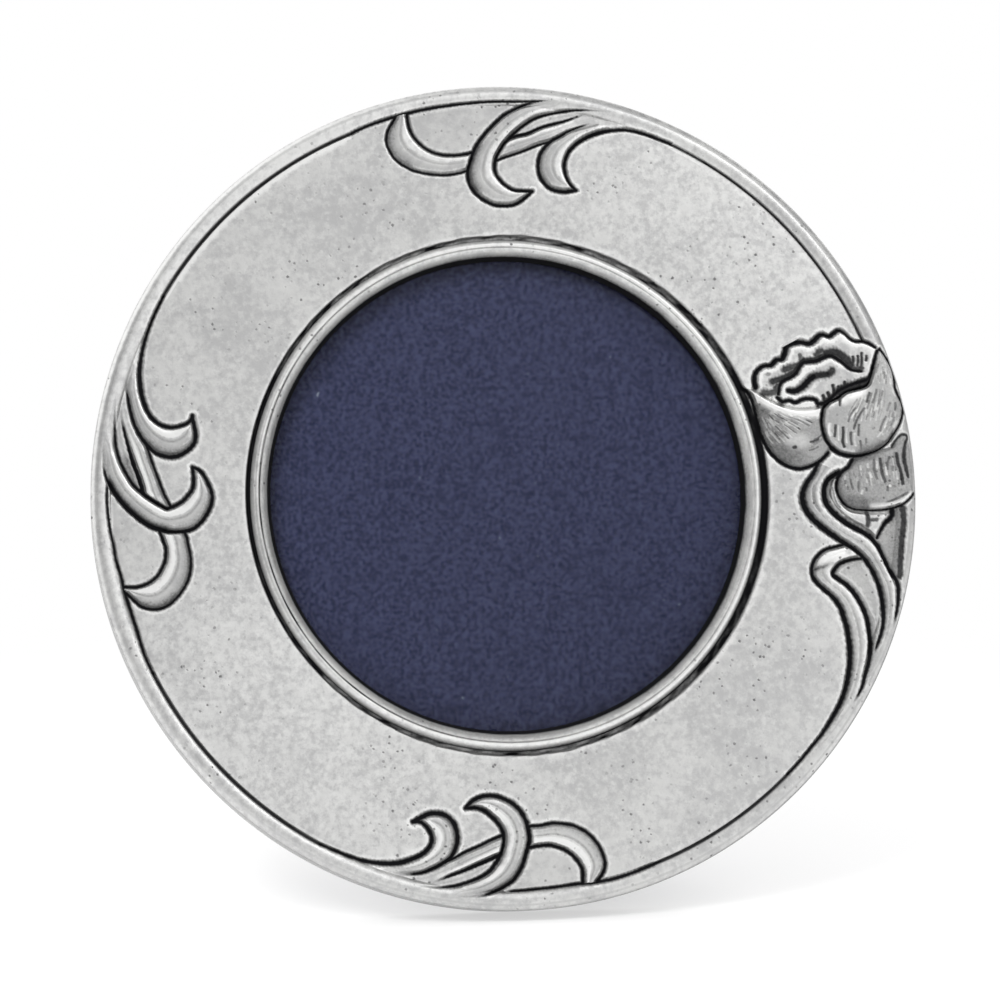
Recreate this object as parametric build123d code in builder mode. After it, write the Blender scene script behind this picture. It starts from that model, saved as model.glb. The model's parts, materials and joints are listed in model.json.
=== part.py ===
from build123d import *

import os
from math import cos, radians, sin

# Round cast-pewter photo frame, standing on a hinged easel strut.
# Millimetres, +Z up, the front faces -Y. The table is z = 0: the lowest point of the rim and the
# foot of the open strut stand on it, and the face leans back.

os.makedirs("parts", exist_ok=True)

# Stance
LEAN = 15.0                  # backward lean of the face, degrees
STRUT_OPEN = 22.0            # angle between the back and the open strut, degrees

# Casting, radii from the centre of the face
OUTER_R = 55.0
WINDOW_R = 31.85
REBATE_R = 36.2              # pocket behind the window for glass, card and pad
RECESS_R = 46.4              # shallow recess for the back board
LIP_T = 1.2                  # metal in front of the glass, measured at the field
BEAD_ROUND = 1.15            # section radius of the bead round the window
BEAD_RISE = 1.35             # bead crest above the field
RIM_ROUND = 1.4              # section radius of the outer rim
RIM_RISE = 0.8               # rim crest above the field
RIM_FOOT_ANGLE = 45.0        # how far the rim's round runs down its inner side, degrees
GROOVE_W = 0.5               # engraved line beside the bead and beside the rim
GROOVE_DEPTH = 0.4
FIELD_CROWN = 0.25           # swell of the field between the two lines
RELIEF_LOW = 0.65            # raised ornament above the field, lower layer
RELIEF_HIGH = 0.95           # raised ornament above the field, upper layer
RELIEF_ROOT = 0.6            # how deep the ornament is rooted in the field
RELIEF_TUCK = 0.5            # how far the ornament runs into the rim

# What the casting holds, from the front to the back
GLASS_T = 1.6
CARD_T = 0.4
PAD_T = 0.6
BOARD_T = 1.9
VELVET_T = 0.4
VELVET_SINK = 0.1            # the velvet lies this far inside the back of the casting
GLASS_CLEAR = 0.3            # round the glass, card and pad
BOARD_CLEAR = 0.2            # round the back board

# Turn buttons that hold the back board
BUTTON_COUNT = 4
BUTTON_START = 45.0          # angle of the first button, degrees
BUTTON_T = 0.8
BUTTON_HEAD_R = 3.2
BUTTON_TONGUE_R = 2.1
BUTTON_BITE = 5.0            # how far a button reaches over the board
BUTTON_PLAY = 0.05           # between casting, button and screw head
SCREW_R = 1.2
SCREW_HEAD_R = 2.3
SCREW_HEAD_T = 1.2
SCREW_DEPTH = 4.4            # thread length in the casting
SCREW_SLOT_W = 0.6
SCREW_SLOT_DEPTH = 0.5

# Strut and its stop hinge
HINGE_V = 14.0               # pin above the centre of the face, along the back
HINGE_W = 20.0
LEAF_T = 0.8
LEAF_LEN = 13.0
KNUCKLE_MID = 8.0            # length of the strut leaf's knuckle
KNUCKLE_PLAY = 0.1           # between neighbouring knuckles
KNUCKLE_INSET = 0.15         # knuckle radius is this much less than half the hinge's depth
KNUCKLE_NOTCH = 0.3          # room round the knuckles for the other leaf
PIN_R = 0.9
PIN_HEAD_R = 1.3
PIN_HEAD_T = 0.4
STOP_PLAY = 0.02             # heel to leaf at the stop
STRUT_BOARD_T = 1.8
STRUT_TOP_W = 25.0
STRUT_FOOT_W = 31.0
STRUT_CORNER_R = 4.0
STRUT_DROP = 0.6             # strut's top edge below the knuckles
FOLD_GAP = 0.5               # folded strut to the back

# Rivets of the hinge and the hanger
RIVET_R = 0.8
RIVET_HEAD_R = 1.6
RIVET_HEAD_T = 0.6
RIVET_TAIL_T = 0.6
RIVET_X = 6.5
RIVET_DISTANCE = 8.0         # from the hinge pin

# Hanger
HANGER_V = 33.0              # rivet above the centre of the face
HANGER_LEN = 8.5             # rivet to the eye
HANGER_TAIL = 4.0            # strap below the rivet
HANGER_W = 8.0
HANGER_T = 0.6
EYE_R = 1.5
EYE_LIFT = 0.05              # eye clear of the velvet
RING_WIRE_R = 0.6
RING_HALF_W = 6.4            # at the middle of the wire
RING_CORNER_R = 1.8
RING_SIDE = 3.0              # straight side of the ring

# Fits
HOLE_FIT = 0.02              # radial, where a pin or rivet is fixed
RUN_FIT = 0.06               # radial, where something turns

# Heights above the back of the casting, along the front normal
velvet_n = VELVET_SINK
board_n = velvet_n + VELVET_T
recess_n = board_n + BOARD_T
card_n = recess_n + PAD_T
glass_n = card_n + CARD_T
rebate_n = glass_n + GLASS_T
field_n = rebate_n + LIP_T
bead_n = field_n + BEAD_RISE - BEAD_ROUND
rim_n = field_n + RIM_RISE - RIM_ROUND
groove_n = field_n - GROOVE_DEPTH

# Radii of the front
bead_foot_r = WINDOW_R + 2 * BEAD_ROUND
field_in_r = bead_foot_r + GROOVE_W
rim_mid_r = OUTER_R - RIM_ROUND
rim_foot_r = rim_mid_r - RIM_ROUND * cos(radians(RIM_FOOT_ANGLE))
rim_foot_n = rim_n + RIM_ROUND * sin(radians(RIM_FOOT_ANGLE))
field_out_r = rim_foot_r - GROOVE_W
button_pivot_r = (RECESS_R + OUTER_R) / 2

# Hinge section, along the front normal
strut_t = STRUT_BOARD_T + 2 * VELVET_T
strut_front_n = velvet_n - FOLD_GAP
strut_back_n = strut_front_n - strut_t
pin_n = (velvet_n + strut_back_n - LEAF_T) / 2
knuckle_r = velvet_n - pin_n - KNUCKLE_INSET
knuckle_gap = knuckle_r + KNUCKLE_NOTCH
strut_front = strut_front_n - pin_n
strut_back = strut_back_n - pin_n

# Stance worked out from the lean: the origin is under the middle of the standing frame
lean = radians(LEAN)
tilt = radians(STRUT_OPEN - LEAN)
face_z = OUTER_R * cos(lean)
pin_back = HINGE_V * sin(lean) - pin_n * cos(lean)
pin_z = face_z + HINGE_V * cos(lean) + pin_n * sin(lean)


def foot_at(offset, height):
    """Distance along the strut from the pin at which it stands at a height above the table."""
    return (height - pin_z + offset * sin(tilt)) / cos(tilt)


front_reach = rim_mid_r * sin(lean) + rim_n * cos(lean) + RIM_ROUND
back_reach = pin_back - strut_back * cos(tilt) - foot_at(strut_back, 0) * sin(tilt)
face_y = (front_reach - back_reach) / 2

ACROSS = Vector(1, 0, 0)
UP = Vector(0, sin(lean), cos(lean))
FRONT = Vector(0, -cos(lean), sin(lean))
LEG_UP = Vector(0, -sin(tilt), cos(tilt))
LEG_FRONT = Vector(0, -cos(tilt), -sin(tilt))

FACE = Plane(origin=(0, face_y, face_z), x_dir=ACROSS, z_dir=FRONT)
SECTION = Plane(origin=FACE.origin, x_dir=ACROSS, z_dir=-UP)
pin_at = FACE.from_local_coords((0, HINGE_V, pin_n))
HINGE = Plane(origin=pin_at, x_dir=UP, z_dir=ACROSS)
LEG = Plane(origin=pin_at, x_dir=ACROSS, z_dir=LEG_FRONT)
LEG_SIDE = Plane(origin=pin_at, x_dir=LEG_UP, z_dir=ACROSS)
eye_n = velvet_n - EYE_LIFT - EYE_R
eye_at = FACE.from_local_coords((0, HANGER_V + HANGER_LEN, eye_n))
EYE = Plane(origin=eye_at, x_dir=UP, z_dir=ACROSS)
RING = Plane(origin=eye_at, x_dir=ACROSS, z_dir=(0, -1, 0))

# Ornament. A point is (along, inset): how far it lies clockwise of the ornament's own middle, and how
# far in from the tangent to the outer edge there. Every edge is a smooth line through its points.
# A place is (turn, swing, reach): degrees round the face, degrees about the ornament's own middle, and
# how far it comes in from the edge as a share of the drawn one.
ORNAMENT_MIDDLE = 9.0
CLUSTER_PLACES = ((0.0, 0.0, 1.0), (90.5, 3.5, 1.0), (176.5, 6.0, 0.91))
HOOK_TALL = (
    [(6.0, 2.1), (2.0, 3.3), (-1.6, 6.2), (-3.6, 9.7), (-4.1, 12.6), (-2.6, 15.1), (0.4, 16.2),
     (2.7, 15.6), (4.5, 14.2)],
    [(4.5, 14.2), (2.0, 14.1), (0.2, 12.7), (-0.6, 10.9), (0.1, 8.8), (1.9, 6.7), (5.0, 4.5),
     (9.0, 3.4), (13.0, 3.3)],
)
HOOK_SHORT = (
    [(13.0, 4.6), (10.0, 5.6), (7.4, 7.1), (5.7, 9.6), (5.4, 11.4), (6.2, 13.3), (8.0, 14.3), (10.4, 14.2)],
    [(10.4, 14.2), (9.3, 12.8), (8.9, 10.8), (9.7, 8.8), (11.5, 7.3), (14.5, 6.2), (20.0, 6.6)],
    [(20.0, 6.6), (17.0, 3.9)],
)
TENDRIL_UNDER = (
    [(13.0, 3.9), (9.0, 4.8), (5.0, 6.0), (2.2, 6.9), (-3.3, 9.0), (-6.0, 9.3), (-9.0, 8.8), (-11.3, 6.7),
     (-12.1, 4.2), (-12.2, 2.6)],
    [(-13.2, 2.8), (-14.6, 5.8), (-14.7, 8.4), (-13.4, 10.2), (-11.0, 11.5), (-7.5, 12.0), (-4.4, 11.5),
     (0.5, 9.8), (4.0, 8.6), (7.2, 7.5), (10.0, 6.0), (13.3, 5.1)],
)
FLOWER_PLACE = (-90.0, 0.0, 1.0)
PETAL_LEFT = (
    [(-13.6, 22.4), (-10.5, 21.6), (-7.2, 20.8), (-4.3, 19.2), (-2.8, 15.8), (-4.0, 12.6), (-6.0, 10.5)],
    [(-11.6, 11.0), (-10.5, 13.5), (-10.4, 15.5), (-11.4, 19.0), (-13.6, 22.4)],
)
PETAL_RIGHT = (
    [(-11.2, 11.7), (-9.0, 12.6), (-6.2, 12.0), (-4.3, 9.5), (-5.2, 5.5), (-7.3, 2.5), (-10.5, 1.3),
     (-14.2, 2.4), (-18.7, 4.3)],
    [(-18.7, 4.3), (-15.8, 5.5), (-13.6, 7.2), (-12.6, 9.6), (-11.2, 11.7)],
)
MOUTH = (
    [(-13.2, 21.3), (-15.8, 21.1), (-16.8, 19.0), (-18.9, 16.7), (-19.7, 13.6), (-20.9, 11.4), (-21.1, 9.4),
     (-19.8, 7.4), (-18.6, 4.8)],
    [(-15.2, 5.6), (-13.0, 9.2), (-11.3, 12.7), (-11.5, 16.8), (-12.5, 19.8), (-13.2, 21.3)],
)
CALYX = (
    [(-0.5, 10.7), (1.4, 10.4), (2.7, 8.8), (3.2, 5.5), (2.5, 2.2), (0.6, 0.4), (-3.0, 0.4), (-6.6, 0.9)],
    [(-6.6, 0.9), (-5.6, 3.5), (-4.2, 7.0), (-3.0, 9.0), (-0.5, 10.7)],
)
STEM_UPPER = (
    [(-3.3, 13.3), (-1.0, 14.8), (1.0, 15.4), (3.7, 14.4), (6.4, 11.4), (8.5, 8.4), (11.2, 6.2), (14.5, 5.2),
     (18.2, 5.4), (22.6, 6.7)],
    [(20.7, 4.4), (17.0, 3.2), (13.2, 3.2), (9.8, 4.6), (6.7, 6.6), (4.9, 9.6), (2.4, 12.0), (0.0, 12.2),
     (-2.2, 10.4)],
)
STEM_LOWER = (
    [(7.3, 9.7), (8.2, 12.8), (10.0, 14.4), (12.3, 14.1), (14.9, 11.8), (17.8, 10.2), (21.5, 9.8),
     (26.5, 10.5), (30.0, 12.0), (33.4, 14.4)],
    [(33.4, 14.4), (32.6, 12.0), (28.6, 9.2)],
    [(28.6, 9.2), (24.5, 7.8), (20.0, 7.0), (16.2, 7.6), (13.3, 9.4), (11.5, 11.6), (10.0, 10.4),
     (9.3, 7.4)],
)


def ornament_point(along, inset, place):
    """Where a drawn ornament point lies on the face."""
    turn, swing, reach = place
    drawn = Vector(along, (ORNAMENT_MIDDLE - inset) * reach).rotate(Axis.Z, swing)
    return (drawn + Vector(0, OUTER_R - ORNAMENT_MIDDLE * reach)).rotate(Axis.Z, turn)


def ornament_face(outline_edges, place):
    """A closed face: smooth edges through their points, placed on the face, with straight gaps."""
    ends = []
    with BuildLine() as outline:
        for edge in outline_edges:
            points = [ornament_point(along, inset, place) for along, inset in edge]
            Spline(*points)
            ends.append((points[0], points[-1]))
        for (_, end), (start, _) in zip(ends, ends[1:] + ends[:1]):
            if (end - start).length > GROOVE_W / 10:
                Line(end, start)
    make_face(outline.edges())


def trim_to_field():
    """Keeps the ornament between the bead and the crest of the rim."""
    Circle(rim_foot_r + RELIEF_TUCK, mode=Mode.INTERSECT)
    Circle(bead_foot_r, mode=Mode.SUBTRACT)


def rounds(plane, points, radius):
    """Equal circles at points of a plane."""
    with BuildSketch(plane) as marks:
        with Locations(*points):
            Circle(radius)
    return marks.sketch


def rivet_shape(plane, points, head_at, tail_at):
    """Round-headed rivets: head outside, shank through, and a clinched tail let in flush."""
    extrude(rounds(plane.offset(head_at), points, RIVET_HEAD_R), amount=-RIVET_HEAD_T)
    chamfer(edges().group_by(Axis(plane.origin, plane.z_dir))[0], RIVET_HEAD_T / 2)
    extrude(rounds(plane.offset(head_at), points, RIVET_R), amount=tail_at - head_at)
    extrude(rounds(plane.offset(tail_at), points, RIVET_HEAD_R), amount=-RIVET_TAIL_T)


def rivet_holes(plane, points, start, end, radius=RIVET_R):
    """Clears round holes for the rivets between two heights of a plane."""
    marks = rounds(plane.offset(start), points, radius + HOLE_FIT)
    extrude(marks, amount=end - start, mode=Mode.SUBTRACT)


def disc(radius, start, thickness):
    """A flat disc on the face's axis."""
    extrude(rounds(FACE.offset(start), [(0, 0)], radius), amount=thickness)


leaf_rivets = [(-RIVET_X, HINGE_V + RIVET_DISTANCE), (RIVET_X, HINGE_V + RIVET_DISTANCE)]
strut_rivets = [(-RIVET_X, -RIVET_DISTANCE), (RIVET_X, -RIVET_DISTANCE)]
hanger_rivets = [(0, HANGER_V)]

# Casting: one turned section with its bead, lines and rim, and the ornament raised on the field
with BuildPart() as frame_casting:
    with BuildSketch(SECTION):
        with BuildLine():
            inside = Polyline(
                (REBATE_R, recess_n), (REBATE_R, rebate_n), (WINDOW_R, rebate_n), (WINDOW_R, bead_n)
            )
            bead = ThreePointArc(
                inside @ 1, (WINDOW_R + BEAD_ROUND, bead_n + BEAD_ROUND), (bead_foot_r, bead_n)
            )
            bead_line = Polyline(
                bead @ 1, (bead_foot_r + GROOVE_W / 2, groove_n), (field_in_r, field_n)
            )
            field = ThreePointArc(
                bead_line @ 1,
                ((field_in_r + field_out_r) / 2, field_n + FIELD_CROWN),
                (field_out_r, field_n),
            )
            rim_line = Polyline(
                field @ 1, (rim_foot_r - GROOVE_W / 2, groove_n), (rim_foot_r, rim_foot_n)
            )
            rim = ThreePointArc(rim_line @ 1, (rim_mid_r, rim_n + RIM_ROUND), (OUTER_R, rim_n))
            Polyline(
                rim @ 1, (OUTER_R, 0), (RECESS_R, 0), (RECESS_R, recess_n), (REBATE_R, recess_n)
            )
        make_face()
    revolve(axis=Axis(FACE.origin, FACE.z_dir))
    with BuildSketch(FACE.offset(field_n - RELIEF_ROOT)):
        for place in CLUSTER_PLACES:
            ornament_face(TENDRIL_UNDER, place)
        for shape in (PETAL_LEFT, CALYX, STEM_LOWER):
            ornament_face(shape, FLOWER_PLACE)
        trim_to_field()
    extrude(amount=RELIEF_ROOT + RELIEF_LOW)
    with BuildSketch(FACE.offset(field_n - RELIEF_ROOT)):
        for place in CLUSTER_PLACES:
            ornament_face(HOOK_TALL, place)
            ornament_face(HOOK_SHORT, place)
        for shape in (MOUTH, PETAL_RIGHT, STEM_UPPER):
            ornament_face(shape, FLOWER_PLACE)
        trim_to_field()
    extrude(amount=RELIEF_ROOT + RELIEF_HIGH)
    with BuildSketch(FACE):
        with PolarLocations(button_pivot_r, BUTTON_COUNT, start_angle=BUTTON_START):
            Circle(SCREW_R + HOLE_FIT)
    extrude(amount=SCREW_DEPTH + HOLE_FIT, mode=Mode.SUBTRACT)
frame_casting.part.label = "frame_casting"
export_step(frame_casting.part, "parts/frame_casting.step")

# Glass, photo card and pad, in the pocket behind the window
with BuildPart() as glass_disc:
    disc(REBATE_R - GLASS_CLEAR, glass_n, GLASS_T)
glass_disc.part.label = "glass_disc"
export_step(glass_disc.part, "parts/glass_disc.step")

with BuildPart() as photo_card:
    disc(REBATE_R - GLASS_CLEAR, card_n, CARD_T)
photo_card.part.label = "photo_card"
export_step(photo_card.part, "parts/photo_card.step")

with BuildPart() as backing_pad:
    disc(REBATE_R - GLASS_CLEAR, recess_n, PAD_T)
backing_pad.part.label = "backing_pad"
export_step(backing_pad.part, "parts/backing_pad.step")

# Back board with its velvet, drilled for the hinge and hanger rivets
with BuildPart() as back_board:
    disc(RECESS_R - BOARD_CLEAR, board_n, BOARD_T)
    rivet_holes(FACE, leaf_rivets + hanger_rivets, board_n, recess_n)
    rivet_holes(FACE, leaf_rivets + hanger_rivets, recess_n - RIVET_TAIL_T, recess_n, RIVET_HEAD_R)
back_board.part.label = "back_board"
export_step(back_board.part, "parts/back_board.step")

with BuildPart() as back_velvet:
    disc(RECESS_R - BOARD_CLEAR, velvet_n, VELVET_T)
    rivet_holes(FACE, leaf_rivets + hanger_rivets, velvet_n, board_n)
back_velvet.part.label = "back_velvet"
export_step(back_velvet.part, "parts/back_velvet.step")

# Turn buttons, each on its own screw in the back of the casting
with BuildPart() as turn_button_screws:
    head_n = -BUTTON_T - 2 * BUTTON_PLAY
    with BuildSketch(FACE.offset(head_n)):
        with PolarLocations(button_pivot_r, BUTTON_COUNT, start_angle=BUTTON_START):
            Circle(SCREW_HEAD_R)
    extrude(amount=-SCREW_HEAD_T)
    chamfer(edges().group_by(Axis(FACE.origin, FACE.z_dir))[0], SCREW_HEAD_T / 3)
    with BuildSketch(FACE.offset(head_n)):
        with PolarLocations(button_pivot_r, BUTTON_COUNT, start_angle=BUTTON_START):
            Circle(SCREW_R)
    extrude(amount=SCREW_DEPTH - head_n)
    with BuildSketch(FACE.offset(head_n - SCREW_HEAD_T)):
        with PolarLocations(button_pivot_r, BUTTON_COUNT, start_angle=BUTTON_START):
            Rectangle(2 * SCREW_HEAD_R, SCREW_SLOT_W)
    extrude(amount=SCREW_SLOT_DEPTH, mode=Mode.SUBTRACT)
turn_button_screws.part.label = "turn_button_screws"
export_step(turn_button_screws.part, "parts/turn_button_screws.step")

tongue_r = RECESS_R - BUTTON_BITE + BUTTON_TONGUE_R
for number in range(1, BUTTON_COUNT + 1):
    button_angle = BUTTON_START + (number - 1) * 360 / BUTTON_COUNT
    with BuildPart() as turn_button:
        with BuildSketch(FACE.offset(-BUTTON_PLAY)):
            with PolarLocations(button_pivot_r, 1, start_angle=button_angle):
                Circle(BUTTON_HEAD_R)
            with PolarLocations(tongue_r, 1, start_angle=button_angle):
                Circle(BUTTON_TONGUE_R)
            make_hull()
            with PolarLocations(button_pivot_r, 1, start_angle=button_angle):
                Circle(SCREW_R + RUN_FIT, mode=Mode.SUBTRACT)
        extrude(amount=-BUTTON_T)
    turn_button.part.label = f"turn_button_{number}"
    export_step(turn_button.part, f"parts/turn_button_{number}.step")

# Hinge: a leaf riveted to the back, a leaf riveted to the strut, and the pin through both
with BuildPart() as hinge_leaf_back:
    with BuildSketch(HINGE):
        Circle(knuckle_r)
    extrude(amount=HINGE_W / 2, both=True)
    with BuildSketch(FACE.offset(velvet_n)):
        with Locations((0, HINGE_V + LEAF_LEN / 2)):
            Rectangle(HINGE_W, LEAF_LEN)
    extrude(amount=-LEAF_T)
    with BuildSketch(FACE.offset(velvet_n)):
        with Locations((0, HINGE_V)):
            Rectangle(KNUCKLE_MID + 2 * KNUCKLE_PLAY, 2 * knuckle_gap)
    extrude(amount=-2 * knuckle_gap, mode=Mode.SUBTRACT)
    with BuildSketch(HINGE):
        Circle(PIN_R + HOLE_FIT)
    extrude(amount=HINGE_W, both=True, mode=Mode.SUBTRACT)
    rivet_holes(FACE, leaf_rivets, velvet_n - LEAF_T, velvet_n)
hinge_leaf_back.part.label = "hinge_leaf_back"
export_step(hinge_leaf_back.part, "parts/hinge_leaf_back.step")

with BuildPart() as hinge_pin:
    with BuildSketch(HINGE):
        Circle(PIN_R)
    extrude(amount=HINGE_W / 2, both=True)
    for end in (HINGE.offset(HINGE_W / 2), HINGE.offset(-HINGE_W / 2 - PIN_HEAD_T)):
        with BuildSketch(end):
            Circle(PIN_HEAD_R)
        extrude(amount=PIN_HEAD_T)
hinge_pin.part.label = "hinge_pin"
export_step(hinge_pin.part, "parts/hinge_pin.step")

with BuildPart() as hinge_rivets_back:
    rivet_shape(FACE, leaf_rivets, velvet_n - LEAF_T, recess_n)
hinge_rivets_back.part.label = "hinge_rivets_back"
export_step(hinge_rivets_back.part, "parts/hinge_rivets_back.step")

leaf_back = strut_back - LEAF_T
leaf_stop = velvet_n - LEAF_T - STOP_PLAY - pin_n
heel = (leaf_stop - strut_back * cos(radians(STRUT_OPEN))) / sin(radians(STRUT_OPEN))
with BuildPart() as hinge_leaf_strut:
    with BuildSketch(LEG_SIDE):
        Circle(knuckle_r)
    extrude(amount=KNUCKLE_MID / 2, both=True)
    with BuildSketch(LEG.offset(leaf_back)):
        with Locations((0, -(LEAF_LEN + knuckle_gap) / 2)):
            Rectangle(HINGE_W, LEAF_LEN - knuckle_gap)
        with Locations((0, (heel - knuckle_gap) / 2)):
            Rectangle(KNUCKLE_MID, heel + knuckle_gap)
    extrude(amount=LEAF_T)
    with BuildSketch(LEG_SIDE):
        Circle(PIN_R + RUN_FIT)
    extrude(amount=HINGE_W, both=True, mode=Mode.SUBTRACT)
    rivet_holes(LEG, strut_rivets, leaf_back, strut_back)
hinge_leaf_strut.part.label = "hinge_leaf_strut"
export_step(hinge_leaf_strut.part, "parts/hinge_leaf_strut.step")

with BuildPart() as hinge_rivets_strut:
    rivet_shape(LEG, strut_rivets, leaf_back, strut_front)
hinge_rivets_strut.part.label = "hinge_rivets_strut"
export_step(hinge_rivets_strut.part, "parts/hinge_rivets_strut.step")


def strut_block(inset):
    """The strut's flat tapering leg, inset all round, with its foot cut level with the table."""
    front = strut_front - inset
    back = strut_back + inset
    top = -knuckle_r - STRUT_DROP - inset
    foot = foot_at(back, inset)
    with BuildSketch(LEG_SIDE) as side:
        with BuildLine():
            Polyline((top, front), (foot_at(front, inset), front), (foot, back), (top, back), close=True)
        make_face()
    extrude(side.sketch, amount=STRUT_FOOT_W, both=True)
    with BuildSketch(LEG) as outline:
        with BuildLine():
            half_top = STRUT_TOP_W / 2 - inset
            half_foot = STRUT_FOOT_W / 2 - inset
            Polyline(
                (-half_top, top), (half_top, top), (half_foot, foot), (-half_foot, foot), close=True
            )
        make_face()
        fillet(vertices().group_by(Axis.Y)[-1], STRUT_CORNER_R - inset)
    extrude(outline.sketch, amount=strut_t, both=True, mode=Mode.INTERSECT)


# Strut: a stiff board with velvet all over, drilled for the leaf's rivets
with BuildPart() as strut_core:
    strut_block(VELVET_T)

with BuildPart() as strut_board:
    add(strut_core.part)
    rivet_holes(LEG, strut_rivets, strut_back, strut_front)
    rivet_holes(LEG, strut_rivets, strut_front - RIVET_TAIL_T, strut_front, RIVET_HEAD_R)
strut_board.part.label = "strut_board"
export_step(strut_board.part, "parts/strut_board.step")

with BuildPart() as strut_velvet:
    strut_block(0)
    add(strut_core.part, mode=Mode.SUBTRACT)
    rivet_holes(LEG, strut_rivets, strut_back, strut_front)
    rivet_holes(LEG, strut_rivets, strut_front - RIVET_TAIL_T, strut_front, RIVET_HEAD_R)
strut_velvet.part.label = "strut_velvet"
export_step(strut_velvet.part, "parts/strut_velvet.step")

# Hanger: a strap rolled into an eye, riveted to the back, and the wire ring that swings in it
with BuildPart() as hanger_strap:
    with BuildSketch(EYE):
        Circle(EYE_R)
    extrude(amount=HANGER_W / 2, both=True)
    with BuildSketch(FACE.offset(velvet_n)):
        with Locations((0, HANGER_V + (HANGER_LEN - HANGER_TAIL) / 2)):
            Rectangle(HANGER_W, HANGER_LEN + HANGER_TAIL)
    extrude(amount=-HANGER_T)
    with BuildSketch(EYE):
        Circle(RING_WIRE_R + RUN_FIT)
    extrude(amount=HANGER_W, both=True, mode=Mode.SUBTRACT)
    rivet_holes(FACE, hanger_rivets, velvet_n - HANGER_T, velvet_n)
hanger_strap.part.label = "hanger_strap"
export_step(hanger_strap.part, "parts/hanger_strap.step")

with BuildPart() as hanger_rivet:
    rivet_shape(FACE, hanger_rivets, velvet_n - HANGER_T, recess_n)
hanger_rivet.part.label = "hanger_rivet"
export_step(hanger_rivet.part, "parts/hanger_rivet.step")

with BuildPart() as hanger_ring:
    with BuildLine(RING) as ring_path:
        bar_end = RING_HALF_W - RING_CORNER_R
        shoulder = -RING_CORNER_R
        bend = shoulder - RING_SIDE
        bar = Line((-bar_end, 0), (bar_end, 0))
        TangentArc(bar @ 1, RING.from_local_coords((RING_HALF_W, shoulder)), tangent=ACROSS)
        Line((RING_HALF_W, shoulder), (RING_HALF_W, bend))
        ThreePointArc((RING_HALF_W, bend), (0, bend - RING_HALF_W), (-RING_HALF_W, bend))
        Line((-RING_HALF_W, bend), (-RING_HALF_W, shoulder))
        RadiusArc((-RING_HALF_W, shoulder), (-bar_end, 0), RING_CORNER_R)
    with BuildSketch(Plane(origin=ring_path.line @ 0, z_dir=ring_path.line % 0)):
        Circle(RING_WIRE_R)
    sweep(path=ring_path.line)
hanger_ring.part.label = "hanger_ring"
export_step(hanger_ring.part, "parts/hanger_ring.step")
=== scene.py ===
import json
from math import asin, cos, pi, radians, sin

import bpy
import numpy as np
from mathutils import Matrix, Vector


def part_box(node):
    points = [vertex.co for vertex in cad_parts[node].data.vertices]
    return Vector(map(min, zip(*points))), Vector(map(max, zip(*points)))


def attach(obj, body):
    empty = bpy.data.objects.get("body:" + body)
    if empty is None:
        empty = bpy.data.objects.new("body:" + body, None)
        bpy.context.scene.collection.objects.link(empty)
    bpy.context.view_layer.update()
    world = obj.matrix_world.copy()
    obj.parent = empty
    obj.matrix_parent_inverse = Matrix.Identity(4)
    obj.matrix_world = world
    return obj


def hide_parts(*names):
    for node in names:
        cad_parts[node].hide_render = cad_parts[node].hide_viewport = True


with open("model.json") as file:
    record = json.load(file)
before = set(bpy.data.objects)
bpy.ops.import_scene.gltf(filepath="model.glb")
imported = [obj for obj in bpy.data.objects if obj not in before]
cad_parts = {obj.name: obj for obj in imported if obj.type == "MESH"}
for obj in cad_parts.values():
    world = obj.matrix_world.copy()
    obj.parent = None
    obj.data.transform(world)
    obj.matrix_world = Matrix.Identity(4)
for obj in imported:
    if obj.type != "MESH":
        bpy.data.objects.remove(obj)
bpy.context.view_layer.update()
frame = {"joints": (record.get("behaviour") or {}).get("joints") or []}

# The face of the frame: a leaning plane whose normal is the axis of the turn buttons. All pieces are
# laid out on it in millimetres: x to the right, y up the face, n out of it from the back of the casting.
MM = 0.001
GLASS_MIDDLE = 4.2
FRONT = np.array(next(j["axis"] for j in frame["joints"] if j["name"] == "turn_button_1_turn"))
LEAN = asin(FRONT[2])
UP = np.array([0.0, sin(LEAN), cos(LEAN)])
ACROSS = np.array([1.0, 0.0, 0.0])
glass_low, glass_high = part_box("glass_disc")
ORIGIN = np.array((glass_low + glass_high) / 2) - GLASS_MIDDLE * MM * FRONT


def laid_out(origin, x_way, y_way, n_way):
    """A place function: coordinates in millimetres along three directions become points in metres."""
    def place(x, y, n):
        """Points of the shared frame, in metres."""
        x, y, n = np.broadcast_arrays(x, y, n)
        return origin + MM * (x[..., None] * x_way + y[..., None] * y_way + n[..., None] * n_way)

    return place


on_face = laid_out(ORIGIN, ACROSS, UP, FRONT)


# Studio: a white floor, a white surround that is greyer on the left so that the metal shows its form,
# three soft lamps, the one at the upper left for the shadow, and the camera of the photograph.
CAMERA_AZIMUTH = radians(-6.48)
CAMERA_ELEVATION = radians(8.43)
CAMERA_DISTANCE = 0.5
FOCAL_PIXELS = 3727.1
FRAME_PIXELS = 1000
SENSOR = 36.0
AIM = Vector(ORIGIN) + Vector((-0.38, 0.0, -0.11)) * MM

camera_data = bpy.data.cameras.new("camera")
camera_data.sensor_width = SENSOR
camera_data.lens = FOCAL_PIXELS / FRAME_PIXELS * SENSOR
camera_data.clip_start = 0.01
camera = bpy.data.objects.new("camera", camera_data)
to_camera = Vector((
    sin(CAMERA_AZIMUTH) * cos(CAMERA_ELEVATION),
    -cos(CAMERA_AZIMUTH) * cos(CAMERA_ELEVATION),
    sin(CAMERA_ELEVATION),
))
camera.location = AIM + to_camera * CAMERA_DISTANCE
camera.rotation_euler = (-to_camera).to_track_quat("-Z", "Y").to_euler()
bpy.context.scene.collection.objects.link(camera)
bpy.context.scene.camera = camera
bpy.context.scene.view_settings.view_transform = "Standard"


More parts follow.
